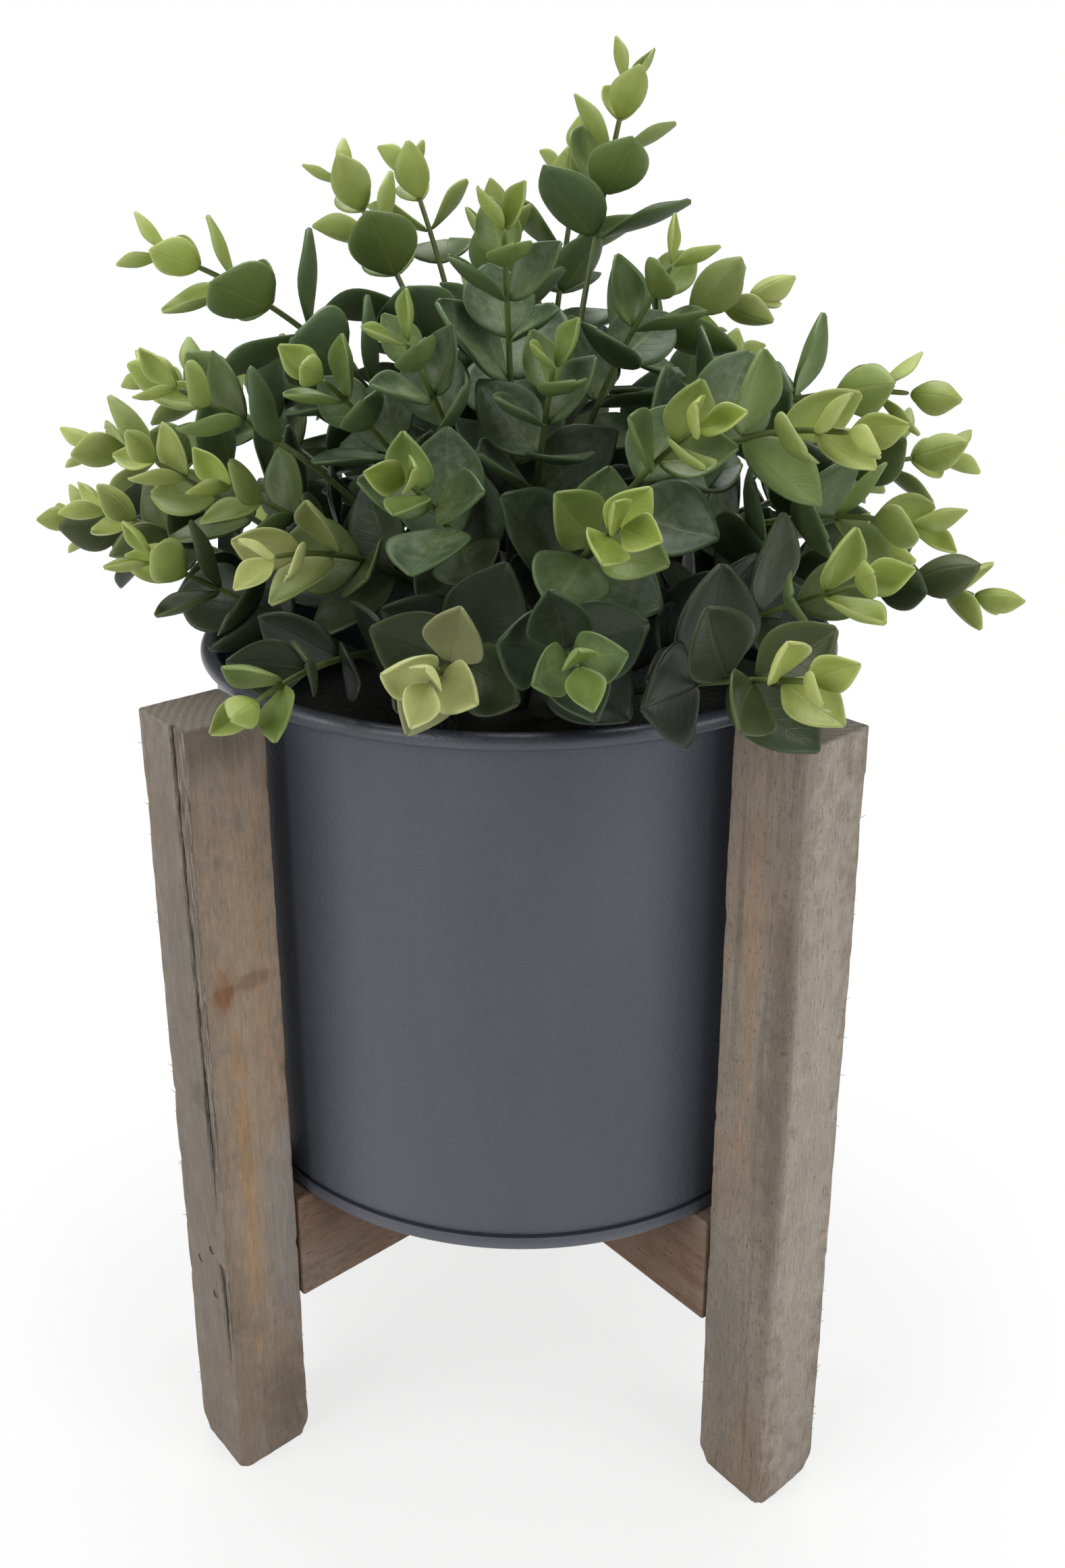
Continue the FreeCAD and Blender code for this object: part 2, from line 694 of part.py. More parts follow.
def make_sprigs():
    """All sprigs, each one moulding of a stem with its leaves."""
    stems = [Stem(*sprig, ROLL_STEP * number) for number, sprig in enumerate(SPRIGS)]
    sprigs = []
    for number, (stem, leaves) in enumerate(zip(stems, grow_leaves(stems)), start=1):
        rod = stem.solid(dimension("stem_radius"))
        blades = [leaf.solid(dimension("leaf_thickness")) for leaf in leaves]
        moulding = rod.multiFuse(blades)
        loose_volume = rod.Volume + sum(blade.Volume for blade in blades)
        if len(moulding.Solids) != 1 or moulding.Volume < SOUND_FUSE * loose_volume:
            raise RuntimeError(f"sprig {number} did not fuse: {len(moulding.Solids)} solids")
        feature = doc.addObject("Part::Feature", f"sprig_{number:02d}")
        feature.Label = f"sprig_{number:02d}"
        feature.Shape = moulding
        sprigs.append(feature)
    return sprigs


parts = [make_leg(name, angle) for name, angle in LEGS.items()]
parts.append(make_rail("lower", 45, notch_on_top=True))
parts.append(make_rail("upper", 135, notch_on_top=False))
parts.append(make_brads())
parts.append(make_pot_wall())
parts.append(make_pot_base())
parts.append(make_plug())
parts.append(make_collar())
parts.extend(make_sprigs())
doc.recompute()

failed = [item.Label for item in doc.Objects if {"Invalid", "Error"} & set(item.State)]
failed += [part.Label for part in parts if part.Shape.isNull() or not part.Shape.isValid()]
if failed:
    raise RuntimeError(f"these did not build: {failed}")

os.makedirs("parts", exist_ok=True)
for part in parts:
    part.Shape.exportStep(f"parts/{part.Label}.step")
    print(part.Label, len(part.Shape.Solids), round(part.Shape.Volume, 1))
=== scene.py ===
"""Looks of a planter with stand: a weathered wooden stand, a slate-grey pot, an artificial bush.

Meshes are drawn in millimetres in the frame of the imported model, with the origin on the floor
under the pot's axis, +Z up and -Y the front, and are settled in metres.
"""

import itertools
import logging
import math
import random
from collections.abc import Iterator
from dataclasses import dataclass
from enum import Enum

import bmesh
import bpy
import numpy as np
from mathutils import Matrix, Quaternion, Vector, noise


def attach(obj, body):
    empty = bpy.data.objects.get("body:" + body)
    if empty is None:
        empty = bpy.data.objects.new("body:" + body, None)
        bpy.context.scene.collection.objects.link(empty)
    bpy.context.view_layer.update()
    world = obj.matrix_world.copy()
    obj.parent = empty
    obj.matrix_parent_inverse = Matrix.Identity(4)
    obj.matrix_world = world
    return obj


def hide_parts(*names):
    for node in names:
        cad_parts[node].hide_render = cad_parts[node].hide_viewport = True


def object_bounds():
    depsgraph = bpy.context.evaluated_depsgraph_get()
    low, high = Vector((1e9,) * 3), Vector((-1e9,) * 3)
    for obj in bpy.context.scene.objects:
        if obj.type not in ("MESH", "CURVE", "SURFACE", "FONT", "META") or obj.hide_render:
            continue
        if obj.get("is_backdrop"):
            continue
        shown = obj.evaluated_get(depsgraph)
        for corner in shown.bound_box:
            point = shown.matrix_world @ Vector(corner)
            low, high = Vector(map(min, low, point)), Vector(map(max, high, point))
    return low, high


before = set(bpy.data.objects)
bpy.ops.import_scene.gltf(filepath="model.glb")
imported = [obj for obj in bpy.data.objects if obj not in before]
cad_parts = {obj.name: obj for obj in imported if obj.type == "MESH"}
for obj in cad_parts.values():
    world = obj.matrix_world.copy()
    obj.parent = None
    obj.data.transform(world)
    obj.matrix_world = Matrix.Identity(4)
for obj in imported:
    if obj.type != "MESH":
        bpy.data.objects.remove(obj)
CAD_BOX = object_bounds()
LOG = logging.getLogger("planter")
MM = 0.001
SAME_PLACE = 1e-4
UP = np.array((0.0, 0.0, 1.0))

Colour = tuple[float, float, float, float]
Triple = tuple[float, float, float]
Socket = bpy.types.NodeSocket
Material = bpy.types.Material
Draft = bmesh.types.BMesh


def paint(red: float, green: float, blue: float) -> Colour:
    """Colour for a shader from its display values.

    Args:
        red: red from 0 to 255.
        green: green from 0 to 255.
        blue: blue from 0 to 255.

    Returns:
        The linear colour with full opacity.
    """
    shares = [value / 255 for value in (red, green, blue)]
    linear = [s / 12.92 if s <= 0.04045 else ((s + 0.055) / 1.055) ** 2.4 for s in shares]
    return (*linear, 1.0)


class Signal:
    """A value socket of a recipe; arithmetic on it adds Math nodes."""

    def __init__(self, recipe: "Recipe", socket: Socket) -> None:
        """Wrap one output socket of a recipe."""
        self.recipe = recipe
        self.socket = socket

    def _math(self, operation: str, *values: object) -> "Signal":
        """Add one Math node on the given values."""
        made = self.recipe.node("ShaderNodeMath", {"operation": operation}, dict(enumerate(values)))
        return Signal(self.recipe, made.outputs[0])

    def __add__(self, other: object) -> "Signal":
        """Sum."""
        return self._math("ADD", self, other)

    def __radd__(self, other: object) -> "Signal":
        """Sum with a number on the left."""
        return self._math("ADD", other, self)

    def __sub__(self, other: object) -> "Signal":
        """Difference."""
        return self._math("SUBTRACT", self, other)

    def __rsub__(self, other: object) -> "Signal":
        """Difference with a number on the left."""
        return self._math("SUBTRACT", other, self)

    def __mul__(self, other: object) -> "Signal":
        """Product."""
        return self._math("MULTIPLY", self, other)

    def __rmul__(self, other: object) -> "Signal":
        """Product with a number on the left."""
        return self._math("MULTIPLY", other, self)

    def __pow__(self, other: object) -> "Signal":
        """Power."""
        return self._math("POWER", self, other)

    def __abs__(self) -> "Signal":
        """Absolute value."""
        return self._math("ABSOLUTE", self)

    def sine(self) -> "Signal":
        """Sine of the value in radians."""
        return self._math("SINE", self)

    def fraction(self) -> "Signal":
        """Fraction after the whole number."""
        return self._math("FRACT", self)

    def most(self, other: object) -> "Signal":
        """The larger of two values."""
        return self._math("MAXIMUM", self, other)

    def rise(self, low: float, high: float) -> "Signal":
        """Smooth step from 0 at low to 1 at high, or from 1 to 0 where high is the lower one.

        Args:
            low: value where the step starts.
            high: value where the step ends.

        Returns:
            The step, between 0 and 1.
        """
        span = {"From Min": min(low, high), "From Max": max(low, high)}
        ends = {"To Min": 0.0 if low < high else 1.0, "To Max": 1.0 if low < high else 0.0}
        made = self.recipe.node("ShaderNodeMapRange", {"interpolation_type": "SMOOTHSTEP"},
                                {"Value": self, **span, **ends})
        return Signal(self.recipe, made.outputs[0])


class Recipe:
    """Node tree of a material or of the world, with the few nodes that the finishes use."""

    def __init__(self, owner: Material | bpy.types.World) -> None:
        """Start with an empty tree.

        Args:
            owner: the material or world.
        """
        self.owner = owner
        owner.use_nodes = True
        self.tree = owner.node_tree
        self.tree.nodes.clear()

    def node(self, kind: str, settings: dict | None = None, inputs: dict | None = None) -> bpy.types.Node:
        """Add a node.

        Args:
            kind: the node's type.
            settings: its properties, which are set first.
            inputs: values or links of its sockets, by name or number.

        Returns:
            The new node.
        """
        made = self.tree.nodes.new(kind)
        for key, value in (settings or {}).items():
            setattr(made, key, value)
        for key, value in (inputs or {}).items():
            socket = made.inputs[key]
            source = value.socket if isinstance(value, Signal) else value
            if isinstance(source, Socket):
                self.tree.links.new(source, socket)
            else:
                socket.default_value = source
        return made

    def place(self, turn: float = 0.0, centre: Triple = (0, 0, 0)) -> Socket:
        """Object coordinates in millimetres, in the axes of a turned piece.

        Args:
            turn: compass angle of the piece's own X, in degrees.
            centre: the piece's own origin, in its turned axes.

        Returns:
            The vector socket.
        """
        source = self.node("ShaderNodeTexCoord").outputs["Object"]
        made = self.node("ShaderNodeMapping", None, {
            "Vector": source, "Scale": (1 / MM,) * 3, "Rotation": (0, 0, -math.radians(turn)),
            "Location": [-value for value in centre]})
        return made.outputs[0]

    def stretch(self, vector: Socket, shares: Triple) -> Socket:
        """Vector with each axis scaled by its share."""
        made = self.node("ShaderNodeVectorMath", {"operation": "MULTIPLY"}, {0: vector, 1: shares})
        return made.outputs[0]

    def split(self, vector: Socket) -> list[Signal]:
        """The three values of a vector."""
        made = self.node("ShaderNodeSeparateXYZ", None, {0: vector})
        return [Signal(self, output) for output in made.outputs]

    def join(self, *values: object) -> Socket:
        """Vector of three values."""
        return self.node("ShaderNodeCombineXYZ", None, dict(enumerate(values))).outputs[0]

    def noise(self, vector: Socket, scale: float, detail: float = 2.0,
              roughness: float = 0.5, distortion: float = 0.0) -> Signal:
        """Cloudy noise between 0 and 1.

        Args:
            vector: where it is read.
            scale: clouds per unit of the vector.
            detail: finer layers.
            roughness: strength of the finer layers.
            distortion: how far it is drawn out of shape.

        Returns:
            The noise.
        """
        made = self.node("ShaderNodeTexNoise", None, {
            "Vector": vector, "Scale": scale, "Detail": detail, "Roughness": roughness,
            "Distortion": distortion})
        return Signal(self, made.outputs[0])

    def cells(self, vector: Socket, scale: float) -> Signal:
        """Distance to the nearest border of a random mesh of cells.

        Args:
            vector: where it is read.
            scale: cells per unit of the vector.

        Returns:
            The distance.
        """
        made = self.node("ShaderNodeTexVoronoi", {"feature": "DISTANCE_TO_EDGE"},
                         {"Vector": vector, "Scale": scale})
        return Signal(self, made.outputs[0])

    def value(self, name: str) -> Signal:
        """A value that the mesh carries for each face or point."""
        made = self.node("ShaderNodeAttribute", {"attribute_name": name})
        return Signal(self, made.outputs["Fac"])

    def mix(self, share: object, first: object, second: object) -> Socket:
        """Colour between two colours.

        Args:
            share: how much of the second, from 0 to 1.
            first: colour at 0.
            second: colour at 1.

        Returns:
            The colour socket.
        """
        made = self.node("ShaderNodeMix", {"data_type": "RGBA", "clamp_factor": True},
                         {0: share, 6: first, 7: second})
        return made.outputs[2]

    def shade(self, colour: Socket, amount: Signal) -> Socket:
        """Colour made lighter or darker by a factor."""
        made = self.node("ShaderNodeVectorMath", {"operation": "SCALE"}, {0: colour, "Scale": amount})
        return made.outputs[0]

    def bump(self, height: Signal, depth: float) -> Socket:
        """Normal bent by a height.

        Args:
            height: the height, about 0 to 1.
            depth: millimetres that a height of 1 stands for.

        Returns:
            The normal socket.
        """
        made = self.node("ShaderNodeBump", None, {"Height": height, "Distance": depth * MM, "Strength": 1.0})
        return made.outputs[0]

    def close(self, **sockets: object) -> Material:
        """End the recipe with its shader.

        Args:
            sockets: values or links of the shader's sockets; an underscore stands for a space.

        Returns:
            The finished material.
        """
        named = {key.replace("_", " "): value for key, value in sockets.items()}
        shader = self.node("ShaderNodeBsdfPrincipled", None, named)
        self.node("ShaderNodeOutputMaterial", None, {"Surface": shader.outputs[0]})
        return self.owner


class Grain(Enum):
    """Which of a batten's own axes its grain follows."""

    UPRIGHT = 2
    LEVEL = 0


@dataclass(frozen=True)
class Patch:
    """Tinted region of a batten: an ellipsoid in the batten's own millimetres."""

    centre: Triple
    reach: Triple
    colour: Colour
    amount: float


@dataclass(frozen=True)
class SawnWood:
    """Weathered rough-sawn softwood."""

    name: str
    turn: float
    centre: Triple
    grain: Grain
    pale: Colour
    warm: Colour
    dark: Colour
    torn: Colour
    seed: float
    length: float
    flecks: float
    patches: tuple[Patch, ...] = ()

    # Painted shade: the near-black laid down in the splits
    CREVICE_SHADE = paint(40, 34, 29)
    END_PALE = paint(146, 138, 127)
    END_DARK = paint(92, 86, 78)
    ROUGHNESS = 0.74
    RELIEF = 0.45
    PITH = (-50.0, 40.0)
    RING_TURN = 3.1

    def make(self) -> Material:
        """Mix the grey and warm wood, its sawn fibres, soft strands, flecks, stains, splits with painted
        shade down in them, and end grain.

        Returns:
            The material.
        """
        mill = Recipe(bpy.data.materials.new(self.name))
        own = mill.place(self.turn, self.centre)
        x, y, z = mill.split(own)
        along, wide, thick = (z, x, y) if self.grain is Grain.UPRIGHT else (x, y, z)
        fibre = mill.noise(mill.join(wide + self.seed, thick - self.seed, along * 0.13), 1.5, 4.0, 0.6)
        strand = mill.noise(mill.join(wide + self.seed, thick, along * 0.03), 0.55, 3.0, 0.55)
        cloud = mill.noise(mill.join(wide + self.seed, thick, along * 0.4), 0.055, 3.0, 0.6)
        fuzz = mill.noise(own, 2.0, 3.0, 0.7)
        fleck = mill.noise(mill.join(wide, thick + self.seed, along * 0.22), 2.2, 2.0).rise(0.63, 0.72)
        blotch = mill.noise(mill.join(wide, thick, along * 0.6 + self.seed), 0.16, 5.0, 0.65)
        fray = mill.noise(own, 0.2, 5.0, 0.65)
        colour = mill.mix(cloud.rise(0.36, 0.64), self.pale, self.warm)
        colour = mill.mix(strand.rise(0.5, 0.75) * 0.45, colour, self.dark)
        for patch in self.patches:
            colour = mill.mix(self.reached(mill, own, patch, fray) * patch.amount, colour, patch.colour)
        colour = mill.shade(colour, fibre * 0.75 + fuzz * 0.5 + strand * 0.25 + blotch * 0.5 + 0.05)
        colour = mill.mix(fleck * blotch.rise(0.46, 0.66) * self.flecks, colour, self.dark)
        split = mill.value("split")
        strip, crevice_shade = split.rise(0.1, 0.3), split.rise(0.4, 0.65)
        torn = mill.noise(mill.join(wide, thick, along * 0.06), 2.6, 3.0, 0.6)
        rags = mill.mix(torn.rise(0.42, 0.6), self.dark, self.torn)
        colour = mill.mix(strip * 0.6, colour, rags)
        # Painted shade: the splits darkened towards near-black
        colour = mill.mix(crevice_shade * 0.9, colour, self.CREVICE_SHADE)
        if self.grain is Grain.UPRIGHT:
            colour = self.ends(mill, own, colour)
        height = fibre * 0.7 + fuzz * 0.5 + strand * 0.4 - fleck * self.flecks + strip * torn * 2.0
        return mill.close(Base_Color=colour, Roughness=fibre * 0.2 + self.ROUGHNESS,
                          Normal=mill.bump(height, self.RELIEF), Specular_IOR_Level=0.2)

    def reached(self, mill: Recipe, own: Socket, patch: Patch, fray: Signal) -> Signal:
        """How strongly a patch covers each point.

        Args:
            mill: the recipe.
            own: the batten's own coordinates.
            patch: the tinted region.
            fray: noise that frays the region's border.

        Returns:
            The cover, from 0 to 1.
        """
        shifted = mill.node("ShaderNodeVectorMath", {"operation": "SUBTRACT"}, {0: own, 1: patch.centre})
        scaled = mill.stretch(shifted.outputs[0], tuple(1 / reach for reach in patch.reach))
        length = mill.node("ShaderNodeVectorMath", {"operation": "LENGTH"}, {0: scaled})
        return (Signal(mill, length.outputs["Value"]) + fray * 1.8 - 0.9).rise(1.0, 0.3)

    def ends(self, mill: Recipe, own: Socket, colour: Socket) -> Socket:
        """Put in the sawn ends: wide arcs of the rings and a darker, furry grain.

        Args:
            mill: the recipe.
            own: the batten's own coordinates.
            colour: colour of the long faces.

        Returns:
            The colour with the ends in it.
        """
        x, y, z = mill.split(own)
        east, north = x - self.PITH[0], y - self.PITH[1]
        arc = (east * east + north * north) ** 0.5
        speck = mill.noise(own, 0.9, 4.0, 0.7)
        rings = ((arc + speck * 1.2) * self.RING_TURN).sine() * 0.5 + 0.5
        face = mill.mix(rings * 0.28 + speck * 0.5, self.END_PALE, self.END_DARK)
        half = self.length / 2
        return mill.mix(abs(z - half).rise(half - 0.7, half - 0.3), colour, face)


@dataclass(frozen=True)
class SlateCoat:
    """Satin slate-grey powder coat on sheet metal."""

    name: str = "slate_coat"
    colour: Colour = paint(72, 75, 84)
    deep: Colour = paint(64, 67, 76)
    rubbed: Colour = paint(104, 108, 116)
    # Painted shade for the top of the rim's curl
    bead_shade: Colour = paint(50, 52, 58)
    # Painted shadow: near-black for the line just above the folded edge
    seam: Colour = paint(22, 23, 26)
    rim_top: float = 202.5
    foot: float = 72.5
    fold: float = 3.6
    roughness: float = 0.29
    peel_depth: float = 0.14

    def make(self) -> Material:
        """Mix the coat's fine peel, its faint clouds, painted shade on the rim's curl, the dusty foot and a
        painted shadow line along the seam above it.

        Returns:
            The material.
        """
        mill = Recipe(bpy.data.materials.new(self.name))
        own = mill.place()
        height = mill.split(own)[2]
        peel = mill.noise(own, 1.5, 2.0, 0.6)
        grit = mill.noise(own, 1.8, 2.0, 0.7)
        cloud = mill.noise(mill.stretch(own, (1.0, 1.0, 0.25)), 0.03, 3.0)
        colour = mill.mix(cloud.rise(0.3, 0.7), self.colour, self.deep)
        colour = mill.shade(colour, grit * 0.62 + peel * 0.16 + 0.6)
        # Painted shade: the top of the rim's curl darkened in mottled patches
        bead_shade = height.rise(self.rim_top - 2.6, self.rim_top - 0.6) * peel.rise(0.3, 0.6)
        colour = mill.mix(bead_shade * 0.6, colour, self.bead_shade)
        foot = height.rise(self.foot + 2.8, self.foot + 0.8) * cloud.rise(0.25, 0.6)
        colour = mill.mix(foot * 0.35, colour, self.rubbed)
        # Painted shadow: a thin ragged near-black line just above the folded edge, where the gap under the
        # seam shades the wall
        ragged = height - (self.foot + self.fold) + grit * 0.4
        seam = ragged.rise(0.0, 0.2) * ragged.rise(0.8, 0.5)
        colour = mill.mix(seam * 0.45, colour, self.seam)
        return mill.close(Base_Color=colour, Roughness=peel * 0.12 + self.roughness,
                          Normal=mill.bump(peel * 0.7 + grit * 0.3, self.peel_depth), Specular_IOR_Level=0.5)


@dataclass(frozen=True)
class LeafPlastic:
    """Soft moulded leaf: yellow-green and pale-edged when young, dusty grey-green when grown."""

    name: str = "leaf_plastic"
    young: Colour = paint(152, 166, 76)
    grown: Colour = paint(112, 132, 64)
    old: Colour = paint(77, 95, 67)
    # Painted shade: the dark green that leaves deep in the crown and low by the rim are darkened towards
    deep: Colour = paint(25, 33, 25)
    cream: Colour = paint(200, 201, 146)
    pale_rim: Colour = paint(183, 192, 128)
    green_rim: Colour = paint(94, 116, 68)
    bloom: Colour = paint(120, 133, 110)
    tan: Colour = paint(142, 114, 60)
    veins: float = 7.0
    vein_slant: float = 2.2
    roughness: float = 0.3
    relief: float = 0.2

    def make(self) -> Material:
        """Mix the leaf's age, its shade in the crown, its bloom, veins, middle rib, rim and underside.

        Returns:
            The material.
        """
        mill = Recipe(bpy.data.materials.new(self.name))
        own = mill.place()
        chart = mill.node("ShaderNodeUVMap", {"uv_map": "leaf"}).outputs[0]
        along, side, _ = mill.split(chart)
        across = abs(side * 2.0 - 1.0)
        age, tone, under = mill.value("age"), mill.value("tone"), mill.value("under")
        # inner is how much painted shade a leaf has; open_air is the share left unshaded
        inner, cream = mill.value("inner"), mill.value("cream")
        open_air = 1.0 - inner
        mottle = mill.noise(own, 0.45, 4.0, 0.6)
        colour = mill.mix(age.rise(0.0, 0.5), self.young, self.grown)
        colour = mill.mix(age.rise(0.35, 0.9), colour, self.old)
        # Painted shade on leaves deep in the crown and low by the rim
        colour = mill.mix(inner * 0.85, colour, self.deep)
        edge = across.rise(0.6, 1.0).most(along.rise(0.88, 1.0))
        dust = mottle.rise(0.35, 0.7) * age.rise(0.25, 0.9) * (1.0 - under) * (1.0 - edge) * open_air
        colour = mill.mix(dust * 0.6, colour, self.bloom)
        heart = (1.0 - across) * along.rise(0.9, 0.1)
        colour = mill.mix(heart * open_air * 0.22, colour, self.young)
        vein = abs((along * self.veins - across * self.vein_slant).fraction() - 0.5)
        vein = vein.rise(0.08, 0.0) * across.rise(0.9, 0.5)
        rib = across.rise(0.1, 0.02)
        rim = mill.mix(age.rise(0.1, 0.6), self.pale_rim, self.green_rim)
        colour = mill.mix((vein * 0.035).most(rib * 0.07) * open_air, colour, self.pale_rim)
        # The pale rim is fainter under the painted shade
        colour = mill.mix(edge * (0.45 - inner * 0.38), colour, rim)
        colour = mill.mix(edge * tone.rise(0.85, 0.97) * age.rise(0.7, 0.1) * 0.2, colour, self.tan)
        colour = mill.mix(cream * age.rise(0.4, 0.0), colour, self.cream)
        colour = mill.mix(under * 0.15, colour, rim)
        colour = mill.shade(colour, tone * 0.34 + mottle * 0.24 + 0.6)
        height = mottle * 0.5 - vein * 0.12 - rib * 0.35
        return mill.close(Base_Color=colour, Roughness=mottle * 0.2 + under * 0.12 + self.roughness,
                          Normal=mill.bump(height, self.relief), Specular_IOR_Level=0.32,
                          Subsurface_Weight=0.06, Subsurface_Radius=(0.6, 1.0, 0.3), Subsurface_Scale=0.0012)


@dataclass(frozen=True)
class StemPlastic:
    """Green moulded stem, darker low down."""

    name: str = "stem_plastic"
    fresh: Colour = paint(90, 104, 52)
    low: Colour = paint(42, 48, 31)

    def make(self) -> Material:
        """Mix the stem's age with a faint mottle.

        Returns:
            The material.
        """
        mill = Recipe(bpy.data.materials.new(self.name))
        mottle = mill.noise(mill.stretch(mill.place(), (1.0, 1.0, 0.5)), 0.8, 3.0)
        colour = mill.mix(mill.value("age").rise(0.1, 0.8), self.fresh, self.low)
        colour = mill.shade(colour, mottle * 0.5 + 0.75)
        return mill.close(Base_Color=colour, Roughness=mottle * 0.2 + 0.45, Normal=mill.bump(mottle, 0.15))


@dataclass(frozen=True)
class Foam:
    """Dark cut foam with open pits."""

    name: str = "plug_foam"
    colour: Colour = paint(44, 43, 42)
    # Painted shade in the hollows, also the colour of the darker crumbs
    pit_shade_and_crumbs: Colour = paint(16, 16, 16)

    def make(self) -> Material:
        """Mix the crumbly foam, its darker crumbs and painted shade in its open hollows.

        Returns:
            The material.
        """
        mill = Recipe(bpy.data.materials.new(self.name))
        own = mill.place()
        beads = mill.cells(own, 0.45)
        crumb = mill.noise(own, 0.6, 4.0, 0.65)
        # Painted shade along the cell borders, which the bump sinks as hollows, and darker crumbs at random
        colour = mill.mix(beads.rise(0.12, 0.0) * 0.7 + crumb.rise(0.5, 0.7) * 0.3, self.colour, self.pit_shade_and_crumbs)
        return mill.close(Base_Color=colour, Roughness=crumb * 0.15 + 0.82,
                          Normal=mill.bump(beads.rise(0.0, 0.25) + crumb * 0.5, 0.5))


@dataclass(frozen=True)
class BradSteel:
    """Dull steel of a nail's head, a little rusty."""

    name: str = "brad_steel"
    steel: Colour = paint(128, 122, 114)
    rust: Colour = paint(92, 72, 58)

    def make(self) -> Material:
        """Mix the steel and its rust.

        Returns:
            The material.
        """
        mill = Recipe(bpy.data.materials.new(self.name))
        spots = mill.noise(mill.place(), 1.8, 3.0, 0.6)
        rusty = spots.rise(0.42, 0.6)
        colour = mill.mix(rusty, self.steel, self.rust)
        return mill.close(Base_Color=colour, Metallic=0.9 - rusty * 0.7, Roughness=rusty * 0.35 + 0.42,
                          Normal=mill.bump(spots, 0.05))


@dataclass(frozen=True)
class StudioPaper:
    """White studio floor that keeps a soft shadow."""

    name: str = "studio_paper"
    colour: Colour = (0.9, 0.9, 0.9, 1.0)
    lift: float = 0.72
    near: float = 220.0
    far: float = 520.0

    def make(self) -> Material:
        """Mix plain paper with white for what the camera and the gloss see, all white far away.

        Returns:
            The material.
        """
        mill = Recipe(bpy.data.materials.new(self.name))
        away = mill.node("ShaderNodeVectorMath", {"operation": "LENGTH"}, {0: mill.place()})
        distant = Signal(mill, away.outputs["Value"]).rise(self.near, self.far)
        white_share = distant * (1.0 - self.lift) + self.lift
        rays = mill.node("ShaderNodeLightPath")
        seen = Signal(mill, rays.outputs["Is Camera Ray"]).most(Signal(mill, rays.outputs["Is Glossy Ray"]))
        paper = mill.node("ShaderNodeBsdfDiffuse", None, {"Color": self.colour})
        white = mill.node("ShaderNodeEmission", None, {"Color": (1, 1, 1, 1), "Strength": 1.0})
        made = mill.node("ShaderNodeMixShader", None,
                         {0: seen * white_share, 1: paper.outputs[0], 2: white.outputs[0]})
        mill.node("ShaderNodeOutputMaterial", None, {"Surface": made.outputs[0]})
        return mill.owner


class Bench:
    """Turns drawn meshes into pieces of the object."""

    SHARP = math.radians(38)

    def settle(self, bm: Draft, name: str, body: str, slot: str,
               finishes: list[Material], replaced: tuple[str, ...] = (),
               soft: bool = False) -> bpy.types.Object:
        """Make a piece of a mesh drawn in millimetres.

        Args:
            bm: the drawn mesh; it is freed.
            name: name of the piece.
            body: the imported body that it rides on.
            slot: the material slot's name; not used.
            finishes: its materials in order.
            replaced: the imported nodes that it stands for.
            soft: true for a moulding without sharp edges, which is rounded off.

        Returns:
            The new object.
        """
        bmesh.ops.scale(bm, vec=(MM, MM, MM), verts=bm.verts)
        low, high = CAD_BOX
        for vert in bm.verts:
            vert.co = [min(max(place, least), most) for place, least, most in zip(vert.co, low, high)]
        for face in bm.faces:
            face.smooth = True
        mesh = bpy.data.meshes.new(name)
        bm.to_mesh(mesh)
        bm.free()
        for finish in finishes:
            mesh.materials.append(finish)
        piece = bpy.data.objects.new(name, mesh)
        bpy.context.scene.collection.objects.link(piece)
        if soft:
            rounding = piece.modifiers.new("rounding", "SUBSURF")
            rounding.levels = rounding.render_levels = 1
        else:
            mesh.set_sharp_from_angle(angle=self.SHARP)
        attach(piece, body)
        if replaced:
            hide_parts(*replaced)
        LOG.info("%s: %d faces, rides on %s", name, len(mesh.polygons), body)
        return piece

    def drill(self, piece: bpy.types.Object, holes: Draft) -> None:
        """Cut holes into a piece.

        Args:
            piece: the piece to cut.
            holes: the cutters, drawn in millimetres; they are freed.
        """
        bmesh.ops.scale(holes, vec=(MM, MM, MM), verts=holes.verts)
        mesh = bpy.data.meshes.new("holes")
        holes.to_mesh(mesh)
        holes.free()
        cutter = bpy.data.objects.new("holes", mesh)
        bpy.context.scene.collection.objects.link(cutter)
        cut = piece.modifiers.new("holes", "BOOLEAN")
        cut.object, cut.operation, cut.solver = cutter, "DIFFERENCE", "EXACT"
        graph = bpy.context.evaluated_depsgraph_get()
        drilled = bpy.data.meshes.new_from_object(piece.evaluated_get(graph))
        piece.modifiers.clear()
        piece.data = drilled
        bpy.data.objects.remove(cutter)
        drilled.set_sharp_from_angle(angle=self.SHARP)

    def dress(self, node: str, finish: Material) -> None:
        """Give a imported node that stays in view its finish.

        Args:
            node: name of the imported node.
            finish: its material.
        """
        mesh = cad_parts[node].data
        mesh.materials.clear()
        mesh.materials.append(finish)
        LOG.info("%s: packed node dressed with %s", node, finish.name)


